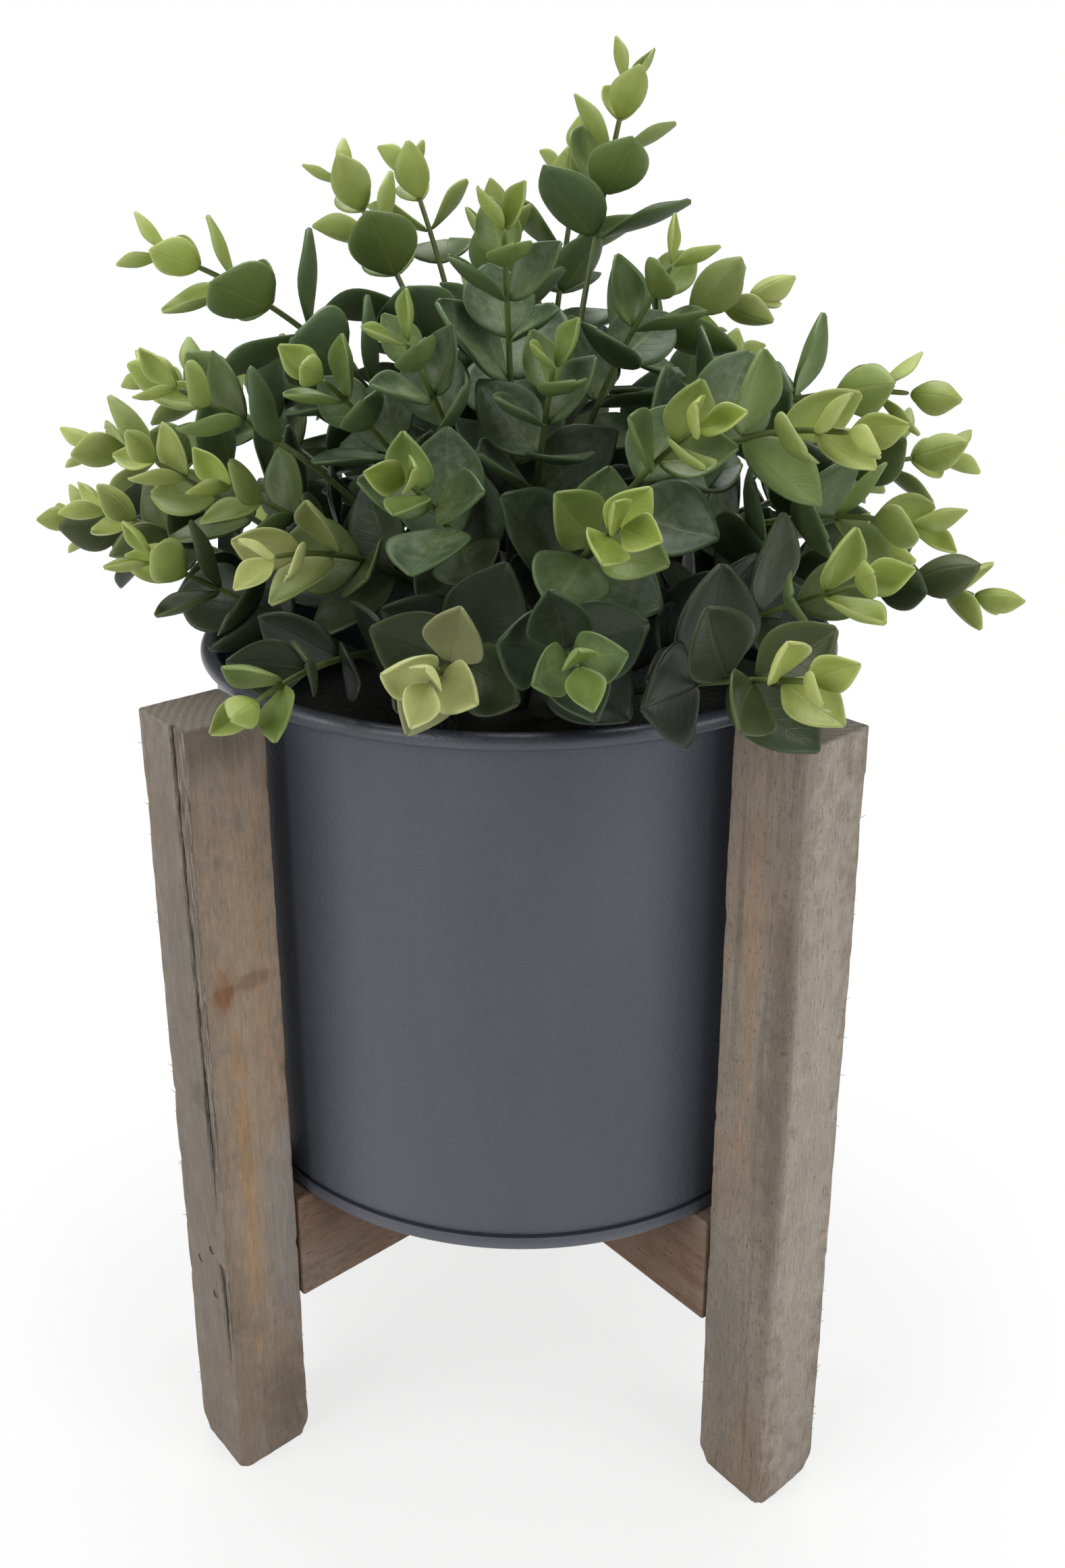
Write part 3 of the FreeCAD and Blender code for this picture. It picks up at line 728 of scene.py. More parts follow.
class Profile:
    """Line drawn point by point in the XZ plane, to be turned about the upright axis."""

    def __init__(self, bm: Draft, x: float, z: float) -> None:
        """Start the line at a point."""
        self.bm = bm
        self.last = bm.verts.new((x, 0, z))

    def line(self, x: float, z: float) -> "Profile":
        """Draw a straight stretch to a point.

        Args:
            x: distance of the point from the axis.
            z: its height.

        Returns:
            The profile.
        """
        made = bmesh.ops.extrude_vert_indiv(self.bm, verts=[self.last])
        self.last = made["verts"][0]
        self.last.co = (x, 0, z)
        return self

    def arc(self, x: float, z: float, degrees: float, steps: int) -> "Profile":
        """Draw an arc about a centre.

        Args:
            x: distance of the centre from the axis.
            z: its height.
            degrees: angle of the arc; a positive one turns from +Z towards +X.
            steps: number of straight steps.

        Returns:
            The profile.
        """
        made = bmesh.ops.spin(self.bm, geom=[self.last], cent=(x, 0, z), axis=(0, 1, 0),
                              angle=math.radians(degrees), steps=steps)
        self.last = next(item for item in made["geom_last"] if isinstance(item, bmesh.types.BMVert))
        return self

    def turn(self, steps: int) -> None:
        """Turn the line once round the upright axis.

        Args:
            steps: number of straight steps round.
        """
        bmesh.ops.spin(self.bm, geom=self.bm.verts[:] + self.bm.edges[:], cent=(0, 0, 0), axis=(0, 0, 1),
                       angle=math.tau, steps=steps, use_merge=True)
        bmesh.ops.remove_doubles(self.bm, verts=self.bm.verts, dist=SAME_PLACE)
        bmesh.ops.recalc_face_normals(self.bm, faces=self.bm.faces)


@dataclass
class Stand:
    """Four rough-sawn legs, two halved cross rails and the brads that hold them."""

    bench: Bench
    leg_side: float = 20.5
    leg_height: float = 201.0
    leg_middle: float = 91.15
    arris: float = 0.6
    rail_reach: float = 80.6
    rail_top: float = 72.5
    rail_height: float = 29.0
    rail_thickness: float = 20.5
    lap_gap: float = 0.15
    brad_offset: float = 3.2
    brad_pitch: float = 6.5
    head_radius: float = 1.14
    head_depth: float = 1.7
    rail_arris: float = 0.7
    rail_pitch: float = 8.3
    rail_dip: float = 0.25

    # Splits of the front left leg: foot and top of each, and its distance from the edge there
    SPLITS = ((73.0, 201.0, 2.6, 5.4), (26.0, 62.0, 1.9, 2.7))
    SPLIT_DEPTH = 1.3
    SPLIT_FADE = 22.0
    SPLIT_CUTS = 14
    SPLIT_PITCH = 0.4
    SPLIT_FACE = 0.4
    SPLIT_HALF_WIDTH = 0.85
    STRIP = 0.35

    # Wear of a leg: dip of its faces, reach and depth of rubs and chips on an arris, rounding of its foot
    DIP = 0.13
    RUB_REACH = 2.0
    RUB = 0.35
    CHIP = 0.8
    FOOT_WEAR = 5.5
    FOOT_INSET = 0.4
    FOOT_CORNER = 0.8
    FOOT_LIFT = 1.4
    TOP_DIP = 0.15

    LEG_RINGS = 120
    LEG_COLUMNS = 20
    FIBRES = 16
    FIBRE_INSET = 0.6
    FIBRE_LENGTHS = (1.4, 3.0)
    FIBRE_ROOT = 0.14
    FIBRE_TIP = 0.03
    PALE = paint(132, 123, 113)
    WARM = paint(129, 114, 99)
    DARK = paint(80, 70, 60)
    GREY = paint(113, 106, 98)
    TAUPE = paint(156, 147, 137)
    HONEY = paint(148, 123, 100)
    RUST = paint(124, 84, 58)
    DUSK = paint(94, 87, 79)
    RAIL_PALE = paint(124, 107, 95)
    RAIL_WARM = paint(116, 93, 77)
    RAIL_DARK = paint(78, 58, 46)
    FLECKS = {"front_left": 0.15, "front_right": 0.5, "back_left": 0.3, "back_right": 0.3, "rail": 0.6}

    def build(self) -> None:
        """Make the legs and rails and dress the brads."""
        stains = self.stains()
        angles = {"front_right": -45, "back_right": 45, "back_left": 135, "front_left": -135}
        for number, (corner, compass) in enumerate(angles.items()):
            finish = SawnWood(f"leg_wood_{corner}", compass, (self.leg_middle, 0, 0), Grain.UPRIGHT,
                              self.PALE, self.WARM, self.DARK, self.TAUPE, 17.0 * number, self.leg_height,
                              self.FLECKS[corner], stains[corner])
            self.leg(corner, compass, 40.0 * number, finish.make())
        for name, compass, notch_on_top in (("lower", 45, True), ("upper", 135, False)):
            finish = SawnWood(f"rail_wood_{name}", compass, (0, 0, self.rail_top - self.rail_height / 2),
                              Grain.LEVEL, self.RAIL_PALE, self.RAIL_WARM, self.RAIL_DARK, self.TAUPE,
                              23.0 + compass, 2 * self.rail_reach, self.FLECKS["rail"])
            self.rail(name, compass, notch_on_top, finish.make())
        self.bench.dress("leg_brads", BradSteel().make())

    def stains(self) -> dict[str, tuple[Patch, ...]]:
        """Stains, the knot and the warm streaks of each leg.

        Returns:
            The patches by corner.
        """
        half = self.leg_side / 2
        return {
            "front_left": (
                Patch((half, 0, 100), (3, 16, 170), self.GREY, 0.8),
                Patch((-1, half, 120), (14, 3, 110), paint(150, 130, 110), 0.75),
                Patch((-5, half, 140), (2.2, 3, 66), self.HONEY, 0.6),
                Patch((4.5, half, 136), (4.2, 3, 7), self.RUST, 0.85),
                Patch((-1, half, 137), (9, 3, 3), paint(112, 88, 68), 0.6),
                Patch((0, half, 199), (13, 3, 12), self.DUSK, 0.55),
                Patch((-7, half, 66), (8, 3, 44), paint(131, 124, 118), 0.9),
                Patch((2.5, half, 84), (2.6, 3, 62), paint(152, 124, 94), 0.8),
                Patch((-5, half, 14), (9, 3, 22), paint(104, 91, 79), 0.75),
                Patch((half, 4, 108), (3, 7, 5), self.DUSK, 0.6),
            ),
            "front_right": (
                Patch((half, 0, 100), (3, 16, 170), self.TAUPE, 0.85),
                Patch((-1.5, -half, 140), (3.2, 3, 70), self.HONEY, 0.5),
                Patch((7.5, -half, 120), (6, 3, 85), self.DUSK, 0.6),
                Patch((-4, -half, 40), (9, 3, 44), self.GREY, 0.6),
            ),
            "back_left": (Patch((0, -half, 70), (8, 3, 80), self.GREY, 0.6),),
            "back_right": (Patch((half, 2, 130), (3, 9, 70), self.HONEY, 0.5),),
        }

    def worn(self, point: Vector, seed: float) -> Vector:
        """Where a point of a new leg lies once the leg is worn: faces dip, arrises are rubbed away.

        Args:
            point: a point of the new leg about its own middle.
            seed: shift that makes each leg's wear its own.

        Returns:
            The worn point, never outside the new leg.
        """
        half = self.leg_side / 2
        spot = Vector((point.x * 0.08, point.y * 0.08, point.z * 0.022 + seed))
        rough = Vector((point.x * 0.55, point.y * 0.55, point.z * 0.2 + seed))
        dip = self.DIP * (noise.noise(spot) + 1) + self.DIP * (noise.noise(rough) + 1)
        near = max(0.0, abs(point.x) + abs(point.y) - 2 * half + self.RUB_REACH) / self.RUB_REACH
        rub = self.RUB * max(0.0, noise.noise(Vector((seed, point.x, point.z * 0.045))))
        chip = max(0.0, noise.noise(Vector((point.y, seed, point.z * 0.21))) - 0.2)
        foot = max(0.0, 1 - (point.z + self.leg_height / 2) / self.FOOT_WEAR)
        inward = dip + near * (rub + self.CHIP * chip)
        inward += foot * foot * (self.FOOT_INSET + self.FOOT_CORNER * near)
        worn = point.copy()
        worn.z += foot * near * self.FOOT_LIFT
        for axis in (0, 1):
            if abs(point[axis]) > 0.6 * half:
                worn[axis] -= math.copysign(inward, point[axis])
        if point.z > self.leg_height / 2 - 0.01:
            worn.z -= self.TOP_DIP * (noise.noise(rough * 1.3) + 1)
        return worn

    def split_share(self, point: Vector) -> float:
        """How far a point of the front left leg lies in a split beside its front edge.

        Args:
            point: a point of the new leg about its own middle.

        Returns:
            0 outside, a little on the rough strip between split and edge, 1 down in the split.
        """
        half, height = self.leg_side / 2, point.z + self.leg_height / 2
        if point.x < half - self.SPLIT_FACE:
            return 0.0
        sway = 0.6 * noise.noise(Vector((3, 7, point.z * 0.07)))
        sway += 0.25 * noise.noise(Vector((5, 2, point.z * 0.4)))
        share = 0.0
        for foot, top, low_inset, high_inset in self.SPLITS:
            if foot < height <= top:
                inset = low_inset + (high_inset - low_inset) * (height - foot) / (top - foot)
                beside = point.y - half + inset - sway
                groove = max(0.0, 1 - abs(beside) / self.SPLIT_HALF_WIDTH)
                strip = self.STRIP if beside > 0 else 0.0
                share = max(strip, groove) * min(1.0, (height - foot) / self.SPLIT_FADE)
        return share

    def leg(self, corner: str, compass: float, seed: float, finish: Material) -> None:
        """Make one leg with its brad holes, which are filled on the front right one.

        Args:
            corner: which leg it is.
            compass: its compass angle from +X.
            seed: shift of its wear.
            finish: its wood.
        """
        side, tall = self.leg_side, self.leg_height
        bm = bmesh.new()
        bmesh.ops.create_cube(bm, size=1.0)
        bmesh.ops.scale(bm, vec=(side, side, tall), verts=bm.verts)
        bmesh.ops.bevel(bm, geom=bm.edges[:], offset=self.arris, segments=3, profile=0.5,
                        affect="EDGES", material=-1)
        upright = [edge for edge in bm.edges if edge.calc_length() > tall / 2]
        bmesh.ops.subdivide_edges(bm, edges=upright, cuts=self.LEG_RINGS, use_grid_fill=True)
        level = [edge for edge in bm.edges if edge.calc_length() > side / 2]
        bmesh.ops.subdivide_edges(bm, edges=level, cuts=self.LEG_COLUMNS, use_grid_fill=True)
        for step in range(self.SPLIT_CUTS if corner == "front_left" else 0):
            inset = 1.0 + self.SPLIT_PITCH * step
            bmesh.ops.bisect_plane(bm, geom=bm.verts[:] + bm.edges[:] + bm.faces[:], dist=SAME_PLACE,
                                   plane_co=(0, side / 2 - inset, 0), plane_no=(0, 1, 0))
        split = bm.verts.layers.float.new("split")
        for vert in bm.verts:
            vert[split] = self.split_share(vert.co) if corner == "front_left" else 0.0
            vert.co = self.worn(vert.co, seed)
            vert.co.x -= self.SPLIT_DEPTH * vert[split]
        turn = Matrix.Rotation(math.radians(compass), 4, "Z")
        seat = turn @ Matrix.Translation((self.leg_middle, 0, tall / 2))
        bmesh.ops.transform(bm, matrix=seat, verts=bm.verts)
        name = f"leg_{corner}"
        piece = self.bench.settle(bm, f"sawn_{name}", "stand", "weathered_wood", [finish], (name,))
        if corner != "front_right":
            self.bench.drill(piece, self.brad_holes(turn))
        self.splinters(piece, turn, random.Random(seed))

    def splinters(self, piece: bpy.types.Object, turn: Matrix, draws: random.Random) -> None:
        """Add the fine fibres that stand off a leg's upright edges.

        Args:
            piece: the leg.
            turn: the leg's turn about the upright axis.
            draws: source of the fibres' places and slants.
        """
        bm = bmesh.new()
        bm.from_mesh(piece.data)
        edge = self.leg_side / 2 - self.FIBRE_INSET
        sides = itertools.product((True, False), (True, False), range(self.FIBRES))
        for inner, left, _ in sides:
            height = draws.uniform(8, self.leg_height - 6)
            spot = Vector((-edge if inner else edge, edge if left else -edge, height))
            lift = 0.15 if inner else draws.uniform(0.2, 1)
            slant = Vector((lift, math.copysign(1, spot.y), draws.uniform(-1, 1)))
            length = draws.uniform(*self.FIBRE_LENGTHS)
            lying = slant.to_track_quat("Z", "Y").to_matrix().to_4x4()
            seat = turn @ Matrix.Translation(spot + Vector((self.leg_middle, 0, 0))) @ lying
            bmesh.ops.create_cone(bm, segments=3, cap_ends=True, radius1=self.FIBRE_ROOT * MM,
                                  radius2=self.FIBRE_TIP * MM, depth=length * MM,
                                  matrix=Matrix.Scale(MM, 4) @ seat @ Matrix.Scale(1 / MM, 4))
        bm.to_mesh(piece.data)
        bm.free()

    def brad_holes(self, turn: Matrix) -> Draft:
        """Cutters for the heads of one leg's brads, in millimetres.

        Args:
            turn: the leg's turn about the upright axis.

        Returns:
            The drawn cutters.
        """
        bm = bmesh.new()
        outside = self.leg_middle + self.leg_side / 2
        middle = self.rail_top - self.rail_height / 2
        lying = Matrix.Rotation(math.pi / 2, 4, "Y")
        for number in range(3):
            spot = (outside, (-1) ** number * self.brad_offset, middle + (1 - number) * self.brad_pitch)
            bmesh.ops.create_cone(bm, cap_ends=True, segments=14, radius1=self.head_radius,
                                  radius2=self.head_radius, depth=2 * self.head_depth,
                                  matrix=turn @ Matrix.Translation(spot) @ lying)
        return bm

    def rail(self, name: str, compass: float, notch_on_top: bool, finish: Material) -> None:
        """Make one cross rail with its halving.

        Args:
            name: upper or lower.
            compass: compass angle of its length.
            notch_on_top: true where the halving is cut from above.
            finish: its wood.
        """
        end, top = self.rail_reach, self.rail_top
        foot, notch = top - self.rail_height, self.rail_thickness / 2 + self.lap_gap
        middle = top - self.rail_height / 2 + self.lap_gap / 2 * (-1 if notch_on_top else 1)
        edge, far = (top, foot) if notch_on_top else (foot, top)
        corners = [(-end, edge), (-notch, edge), (-notch, middle), (notch, middle), (notch, edge),
                   (end, edge), (end, far), (-end, far)]
        bm = bmesh.new()
        side = bm.faces.new([bm.verts.new((x, -self.rail_thickness / 2, z)) for x, z in corners])
        made = bmesh.ops.extrude_face_region(bm, geom=[side])
        verts = [item for item in made["geom"] if isinstance(item, bmesh.types.BMVert)]
        bmesh.ops.translate(bm, vec=(0, self.rail_thickness, 0), verts=verts)
        bmesh.ops.recalc_face_normals(bm, faces=bm.faces)
        bmesh.ops.bevel(bm, geom=bm.edges[:], offset=self.rail_arris, segments=2, profile=0.5,
                        affect="EDGES", material=-1)
        reach = int(end / self.rail_pitch)
        for step in range(-reach, reach + 1):
            bmesh.ops.bisect_plane(bm, geom=bm.verts[:] + bm.edges[:] + bm.faces[:], dist=1e-5,
                                   plane_co=(step * self.rail_pitch, 0, 0), plane_no=(1, 0, 0))
        for vert in bm.verts:
            spot = Vector((vert.co.x * 0.05 + compass, vert.co.y * 0.12, vert.co.z * 0.12))
            on_face = abs(vert.co.y) > self.rail_thickness / 2 - self.rail_arris - 0.05
            if on_face and abs(vert.co.x) > notch + 1:
                vert.co.y -= math.copysign(self.rail_dip * max(0.0, noise.noise(spot)), vert.co.y)
        bmesh.ops.rotate(bm, cent=(0, 0, 0), matrix=Matrix.Rotation(math.radians(compass), 3, "Z"),
                         verts=bm.verts)
        self.bench.settle(bm, f"sawn_rail_{name}", "stand", "rail_wood", [finish], (f"cross_rail_{name}",))


@dataclass
class Pot:
    """Round sheet-metal pot: a rolled wall with a curled rim, and a pressed base folded up round it."""

    bench: Bench
    foot: float = 72.5
    height: float = 130.0
    inside: float = 76.0
    gauge: float = 0.5
    curl: float = 2.0
    fold_outside: float = 77.35
    fold_height: float = 3.6
    fold_radius: float = 0.8
    skirt: float = 75.4
    recess: float = 3.0
    seam_width: float = 5.0
    seam_proud: float = 0.5
    wall_gap: float = 0.6
    seam_gap: float = 0.35
    seam_arris: float = 0.3
    panel_slope: tuple[float, float] = (1.0, 0.8)
    steps: int = 160

    def build(self) -> None:
        """Make the wall and the base."""
        coat = SlateCoat().make()
        self.wall(coat)
        self.base(coat)

    def wall(self, coat: Material) -> None:
        """Make the wall with its curled rim, and its lock seam at the back.

        Args:
            coat: its coat.
        """
        bm = bmesh.new()
        bottom, middle = self.foot + self.wall_gap, self.foot + self.height - self.curl
        line = Profile(bm, self.inside, bottom)
        for step in range(1, 7):
            line.line(self.inside, bottom + (middle - bottom) * step / 6)
        line.arc(self.inside + self.curl, middle, 270, 18)
        line.turn(self.steps)
        self.thicken(bm, min(bm.faces, key=lambda face: face.calc_center_median().z), outward=False)
        top, low = middle - self.curl - self.seam_gap, self.foot + self.fold_height + self.seam_gap
        seam = bmesh.ops.create_cube(bm, size=1.0)["verts"]
        bmesh.ops.scale(bm, vec=(self.seam_width, self.seam_proud * 2, top - low), verts=seam)
        bmesh.ops.translate(bm, vec=(0, self.inside + self.gauge, (top + low) / 2), verts=seam)
        edges = list({edge for vert in seam for edge in vert.link_edges})
        bmesh.ops.bevel(bm, geom=edges, offset=self.seam_arris, segments=2, profile=0.5, affect="EDGES",
                        material=-1)
        self.bench.settle(bm, "rolled_wall", "pot", "slate_coat", [coat], ("pot_wall",))

    def base(self, coat: Material) -> None:
        """Make the base: a raised panel, a skirt and an edge folded up outside the wall.

        Args:
            coat: its coat.
        """
        bm = bmesh.new()
        panel, fold = self.foot + self.recess, self.fold_outside - self.fold_radius
        run, drop = self.panel_slope
        line = Profile(bm, 0, panel)
        line.line(self.skirt - run, panel)
        line.line(self.skirt, panel - drop)
        line.line(self.skirt, self.foot)
        line.line(fold, self.foot)
        line.arc(fold, self.foot + self.fold_radius, -90, 5)
        line.line(self.fold_outside, self.foot + self.fold_height)
        line.turn(self.steps)
        rim = max(bm.faces, key=lambda face: face.calc_center_median().to_2d().length)
        self.thicken(bm, rim, outward=True)
        self.bench.settle(bm, "pressed_base", "pot", "slate_coat", [coat], ("pot_base",))

    def thicken(self, bm: Draft, sample: bmesh.types.BMFace, outward: bool) -> None:
        """Give a turned sheet its gauge behind the drawn side.

        Args:
            bm: the turned sheet.
            sample: one of its upright faces.
            outward: true where the drawn side faces away from the axis at that face.
        """
        away = Vector((*sample.calc_center_median().to_2d(), 0))
        if (sample.normal.dot(away) > 0) != outward:
            bmesh.ops.reverse_faces(bm, faces=bm.faces)
        bmesh.ops.solidify(bm, geom=bm.faces[:], thickness=self.gauge)


@dataclass(frozen=True)
class StemLine:
    """Middle line of one stem: an arc in an upright plane through the pot's axis."""

    compass: float
    lean: float
    length: float
    droop: float
    roll: float
    dome: float = 180.0
    collar: float = 16.0
    seat_turn: float = 25.0
    radius: float = 1.0

    @property
    def out(self) -> np.ndarray:
        """Level direction away from the pot's axis."""
        angle = math.radians(self.compass)
        return np.array((math.cos(angle), math.sin(angle), 0.0))

    @property
    def across(self) -> np.ndarray:
        """Level direction square to the stem's plane."""
        angle = math.radians(self.compass)
        return np.array((-math.sin(angle), math.cos(angle), 0.0))

    @property
    def root(self) -> np.ndarray:
        """Where the stem leaves the collar's dome.

        Returns:
            The point.
        """
        seat = math.radians(self.lean - self.seat_turn)
        reach = self.collar + self.radius * math.sin(math.radians(self.seat_turn))
        return np.array((0, 0, self.dome)) + (self.out * math.cos(seat) + UP * math.sin(seat)) * reach

    @property
    def bend(self) -> float:
        """Radius of the stem's arc."""
        return self.length / math.radians(self.droop)

    def slope(self, along: float) -> float:
        """Angle above level at a distance along the stem, in radians."""
        return math.radians(self.lean) - math.radians(self.droop) * along / self.length

    def heading(self, along: float) -> np.ndarray:
        """Direction of the stem at a distance along it."""
        slope = self.slope(along)
        return self.out * math.cos(slope) + UP * math.sin(slope)

    def place(self, along: float) -> np.ndarray:
        """Point on the middle line.

        Args:
            along: distance along the stem.

        Returns:
            The point.
        """
        lean, slope = math.radians(self.lean), self.slope(along)
        reach = self.bend * (math.sin(lean) - math.sin(slope))
        return self.root + self.out * reach + UP * self.bend * (math.cos(slope) - math.cos(lean))

    def sideways(self, along: float, angle: float) -> np.ndarray:
        """Direction square to the stem.

        Args:
            along: distance along the stem.
            angle: turn about it from the first leaf, in radians.

        Returns:
            The direction.
        """
        upright = np.cross(self.across, self.heading(along))
        turned = math.radians(self.roll) + angle
        return upright * math.cos(turned) + self.across * math.sin(turned)


@dataclass(frozen=True)
class LeafSeat:
    """Where one leaf grows: its base, its three directions, its length and its pair from the tip."""

    base: np.ndarray
    axis: np.ndarray
    width: np.ndarray
    normal: np.ndarray
    length: float
    pair: int

    SHAPE = 0.42
    CUP = 0.17
    FULLNESS = 0.8
    STEPS = (0.18, 0.38, 0.58, 0.78, 0.98)
    SHARES = (-1.0, -0.6, -0.2, 0.2, 0.6, 1.0)

    def marks(self) -> np.ndarray:
        """Points spread over the leaf, to measure its distance from others.

        Returns:
            The points, one to a row.
        """
        grids = np.meshgrid(self.STEPS, self.SHARES, indexing="ij")
        along, share = (grid.ravel()[:, None] for grid in grids)
        across = self.SHAPE * np.sin(math.pi * along ** self.FULLNESS) * share
        reach = self.axis * along + self.width * across + self.normal * self.CUP * share * share
        return self.base + reach * self.length

    def matrix(self) -> Matrix:
        """Transform that seats a leaf drawn with a length of one.

        Returns:
            The transform.
        """
        columns = np.column_stack((self.axis, self.width, self.normal)) * self.length
        seat = Matrix.Identity(4)
        for row in range(3):
            seat[row] = (*columns[row], self.base[row])
        return seat


@dataclass
class Crowd:
    """Points that the bush has taken, with the sprig and leaf pair of each and the room it needs."""

    points: np.ndarray
    owners: np.ndarray
    pairs: np.ndarray
    rooms: np.ndarray
    own_rooms: np.ndarray

    def blocks(self, number: int, seat: LeafSeat, marks: np.ndarray, widest: float) -> bool:
        """True where a leaf comes too near a point of another sprig, or of its own other pairs.

        Args:
            number: the leaf's sprig.
            seat: the leaf's seat.
            marks: the leaf's points.
            widest: the largest room of any point.

        Returns:
            Whether the leaf has no room.
        """
        near = np.abs(self.points - seat.base).max(axis=1) < seat.length + 2 * widest
        partner = self.pairs[near] == seat.pair
        own = np.where(partner, 0.0, self.own_rooms[near])
        limits = np.where(self.owners[near] == number, own, self.rooms[near])
        gaps = np.linalg.norm(self.points[near][:, None] - marks[None], axis=2).min(axis=1)
        return bool(np.any(gaps < limits))

    def take(self, number: int, pair: int, marks: np.ndarray, room: float, own_room: float) -> None:
        """Add the points of a leaf or of a stem.

        Args:
            number: the sprig.
            pair: the leaf pair, -1 for a stem.
            marks: the points.
            room: room they need from other sprigs.
            own_room: room they need from other pairs of the same sprig.
        """
        count = len(marks)
        self.points = np.vstack((self.points, marks))
        self.owners = np.append(self.owners, np.full(count, number))
        self.pairs = np.append(self.pairs, np.full(count, pair))
        self.rooms = np.append(self.rooms, np.full(count, room))
        self.own_rooms = np.append(self.own_rooms, np.full(count, own_room))


@dataclass(frozen=True)
class LeafForm:
    """Shape of one kind of leaf, drawn along X with a length of one and its hollow side up."""

    name: str
    shape: float
    cup: float
    fold: float
    curl: float
    skew: float
    belly: float
    thickness: float = 0.05

    STALK = 0.04
    FOOT = 0.02
    BLADE = 0.94
    POINT = 0.035
    WAVE = 0.012
    TIP_CREASE = 0.4
    TIP_REACH = 0.03

    def half_width(self, along: float) -> float:
        """Half width of the leaf: narrow foot, full round belly, short point.

        Args:
            along: share of the length.

        Returns:
            The half width.
        """
        belly = max(0.0, math.sin(math.pi * min(along, 1.0) ** 0.9)) ** self.belly
        return max(self.STALK * (1 - along), self.shape * belly * min(1.0, 0.35 + 3.2 * along))

    def shaped(self, along: float, side: float) -> Vector:
        """Point of the leaf's sheet.

        Args:
            along: share of the length.
            side: share of the half width, from -1 to 1.

        Returns:
            The point.
        """
        out = abs(side)
        rim = self.cup * (math.sin(math.pi / 2 * min(1.0, along / 0.68)) ** 1.2)
        rib = self.cup * max(0.0, along - 0.5) ** 2 * 3.6
        bowl = (1 - self.fold) * out * out + self.fold * out
        rise = rib + (rim - rib) * bowl + self.curl * max(0.0, along - 0.6) ** 2
        wave = self.WAVE * math.sin(9.0 * along + 2.0 * side + 8.0 * self.skew) * out
        sway = self.skew * along * along
        reach = self.FOOT + self.BLADE * along + (self.POINT if along > 0.999 else 0.0)
        return Vector((reach, self.half_width(along) * side + sway, rise + wave))

    def mesh(self) -> bpy.types.Mesh:
        """Draw the leaf with its thickness, its chart and its underside marked.

        Returns:
            The mesh.
        """
        bm = bmesh.new()
        bmesh.ops.create_grid(bm, x_segments=6, y_segments=4, size=1.0)
        chart = bm.loops.layers.uv.new("leaf")
        for face in bm.faces:
            for loop in face.loops:
                loop[chart].uv = ((loop.vert.co.x + 1) / 2, (loop.vert.co.y + 1) / 2)
        for vert in bm.verts:
            share = (vert.co.x + 1) / 2
            vert.co = self.shaped(share ** 0.9, vert.co.y)
        bmesh.ops.remove_doubles(bm, verts=bm.verts, dist=SAME_PLACE)
        bmesh.ops.recalc_face_normals(bm, faces=bm.faces)
        if sum(face.normal.z for face in bm.faces) < 0:
            bmesh.ops.reverse_faces(bm, faces=bm.faces)
        bmesh.ops.solidify(bm, geom=bm.faces[:], thickness=self.thickness)
        crease = bm.verts.layers.float.new("crease_vert")
        far = max(vert.co.x for vert in bm.verts)
        for vert in bm.verts:
            vert[crease] = self.TIP_CREASE if vert.co.x > far - self.TIP_REACH else 0.0
        under = bm.faces.layers.float.new("under")
        for face in bm.faces:
            face[under] = float(face.normal.z < 0)
        mesh = bpy.data.meshes.new(self.name)
        bm.to_mesh(mesh)
        bm.free()
        return mesh


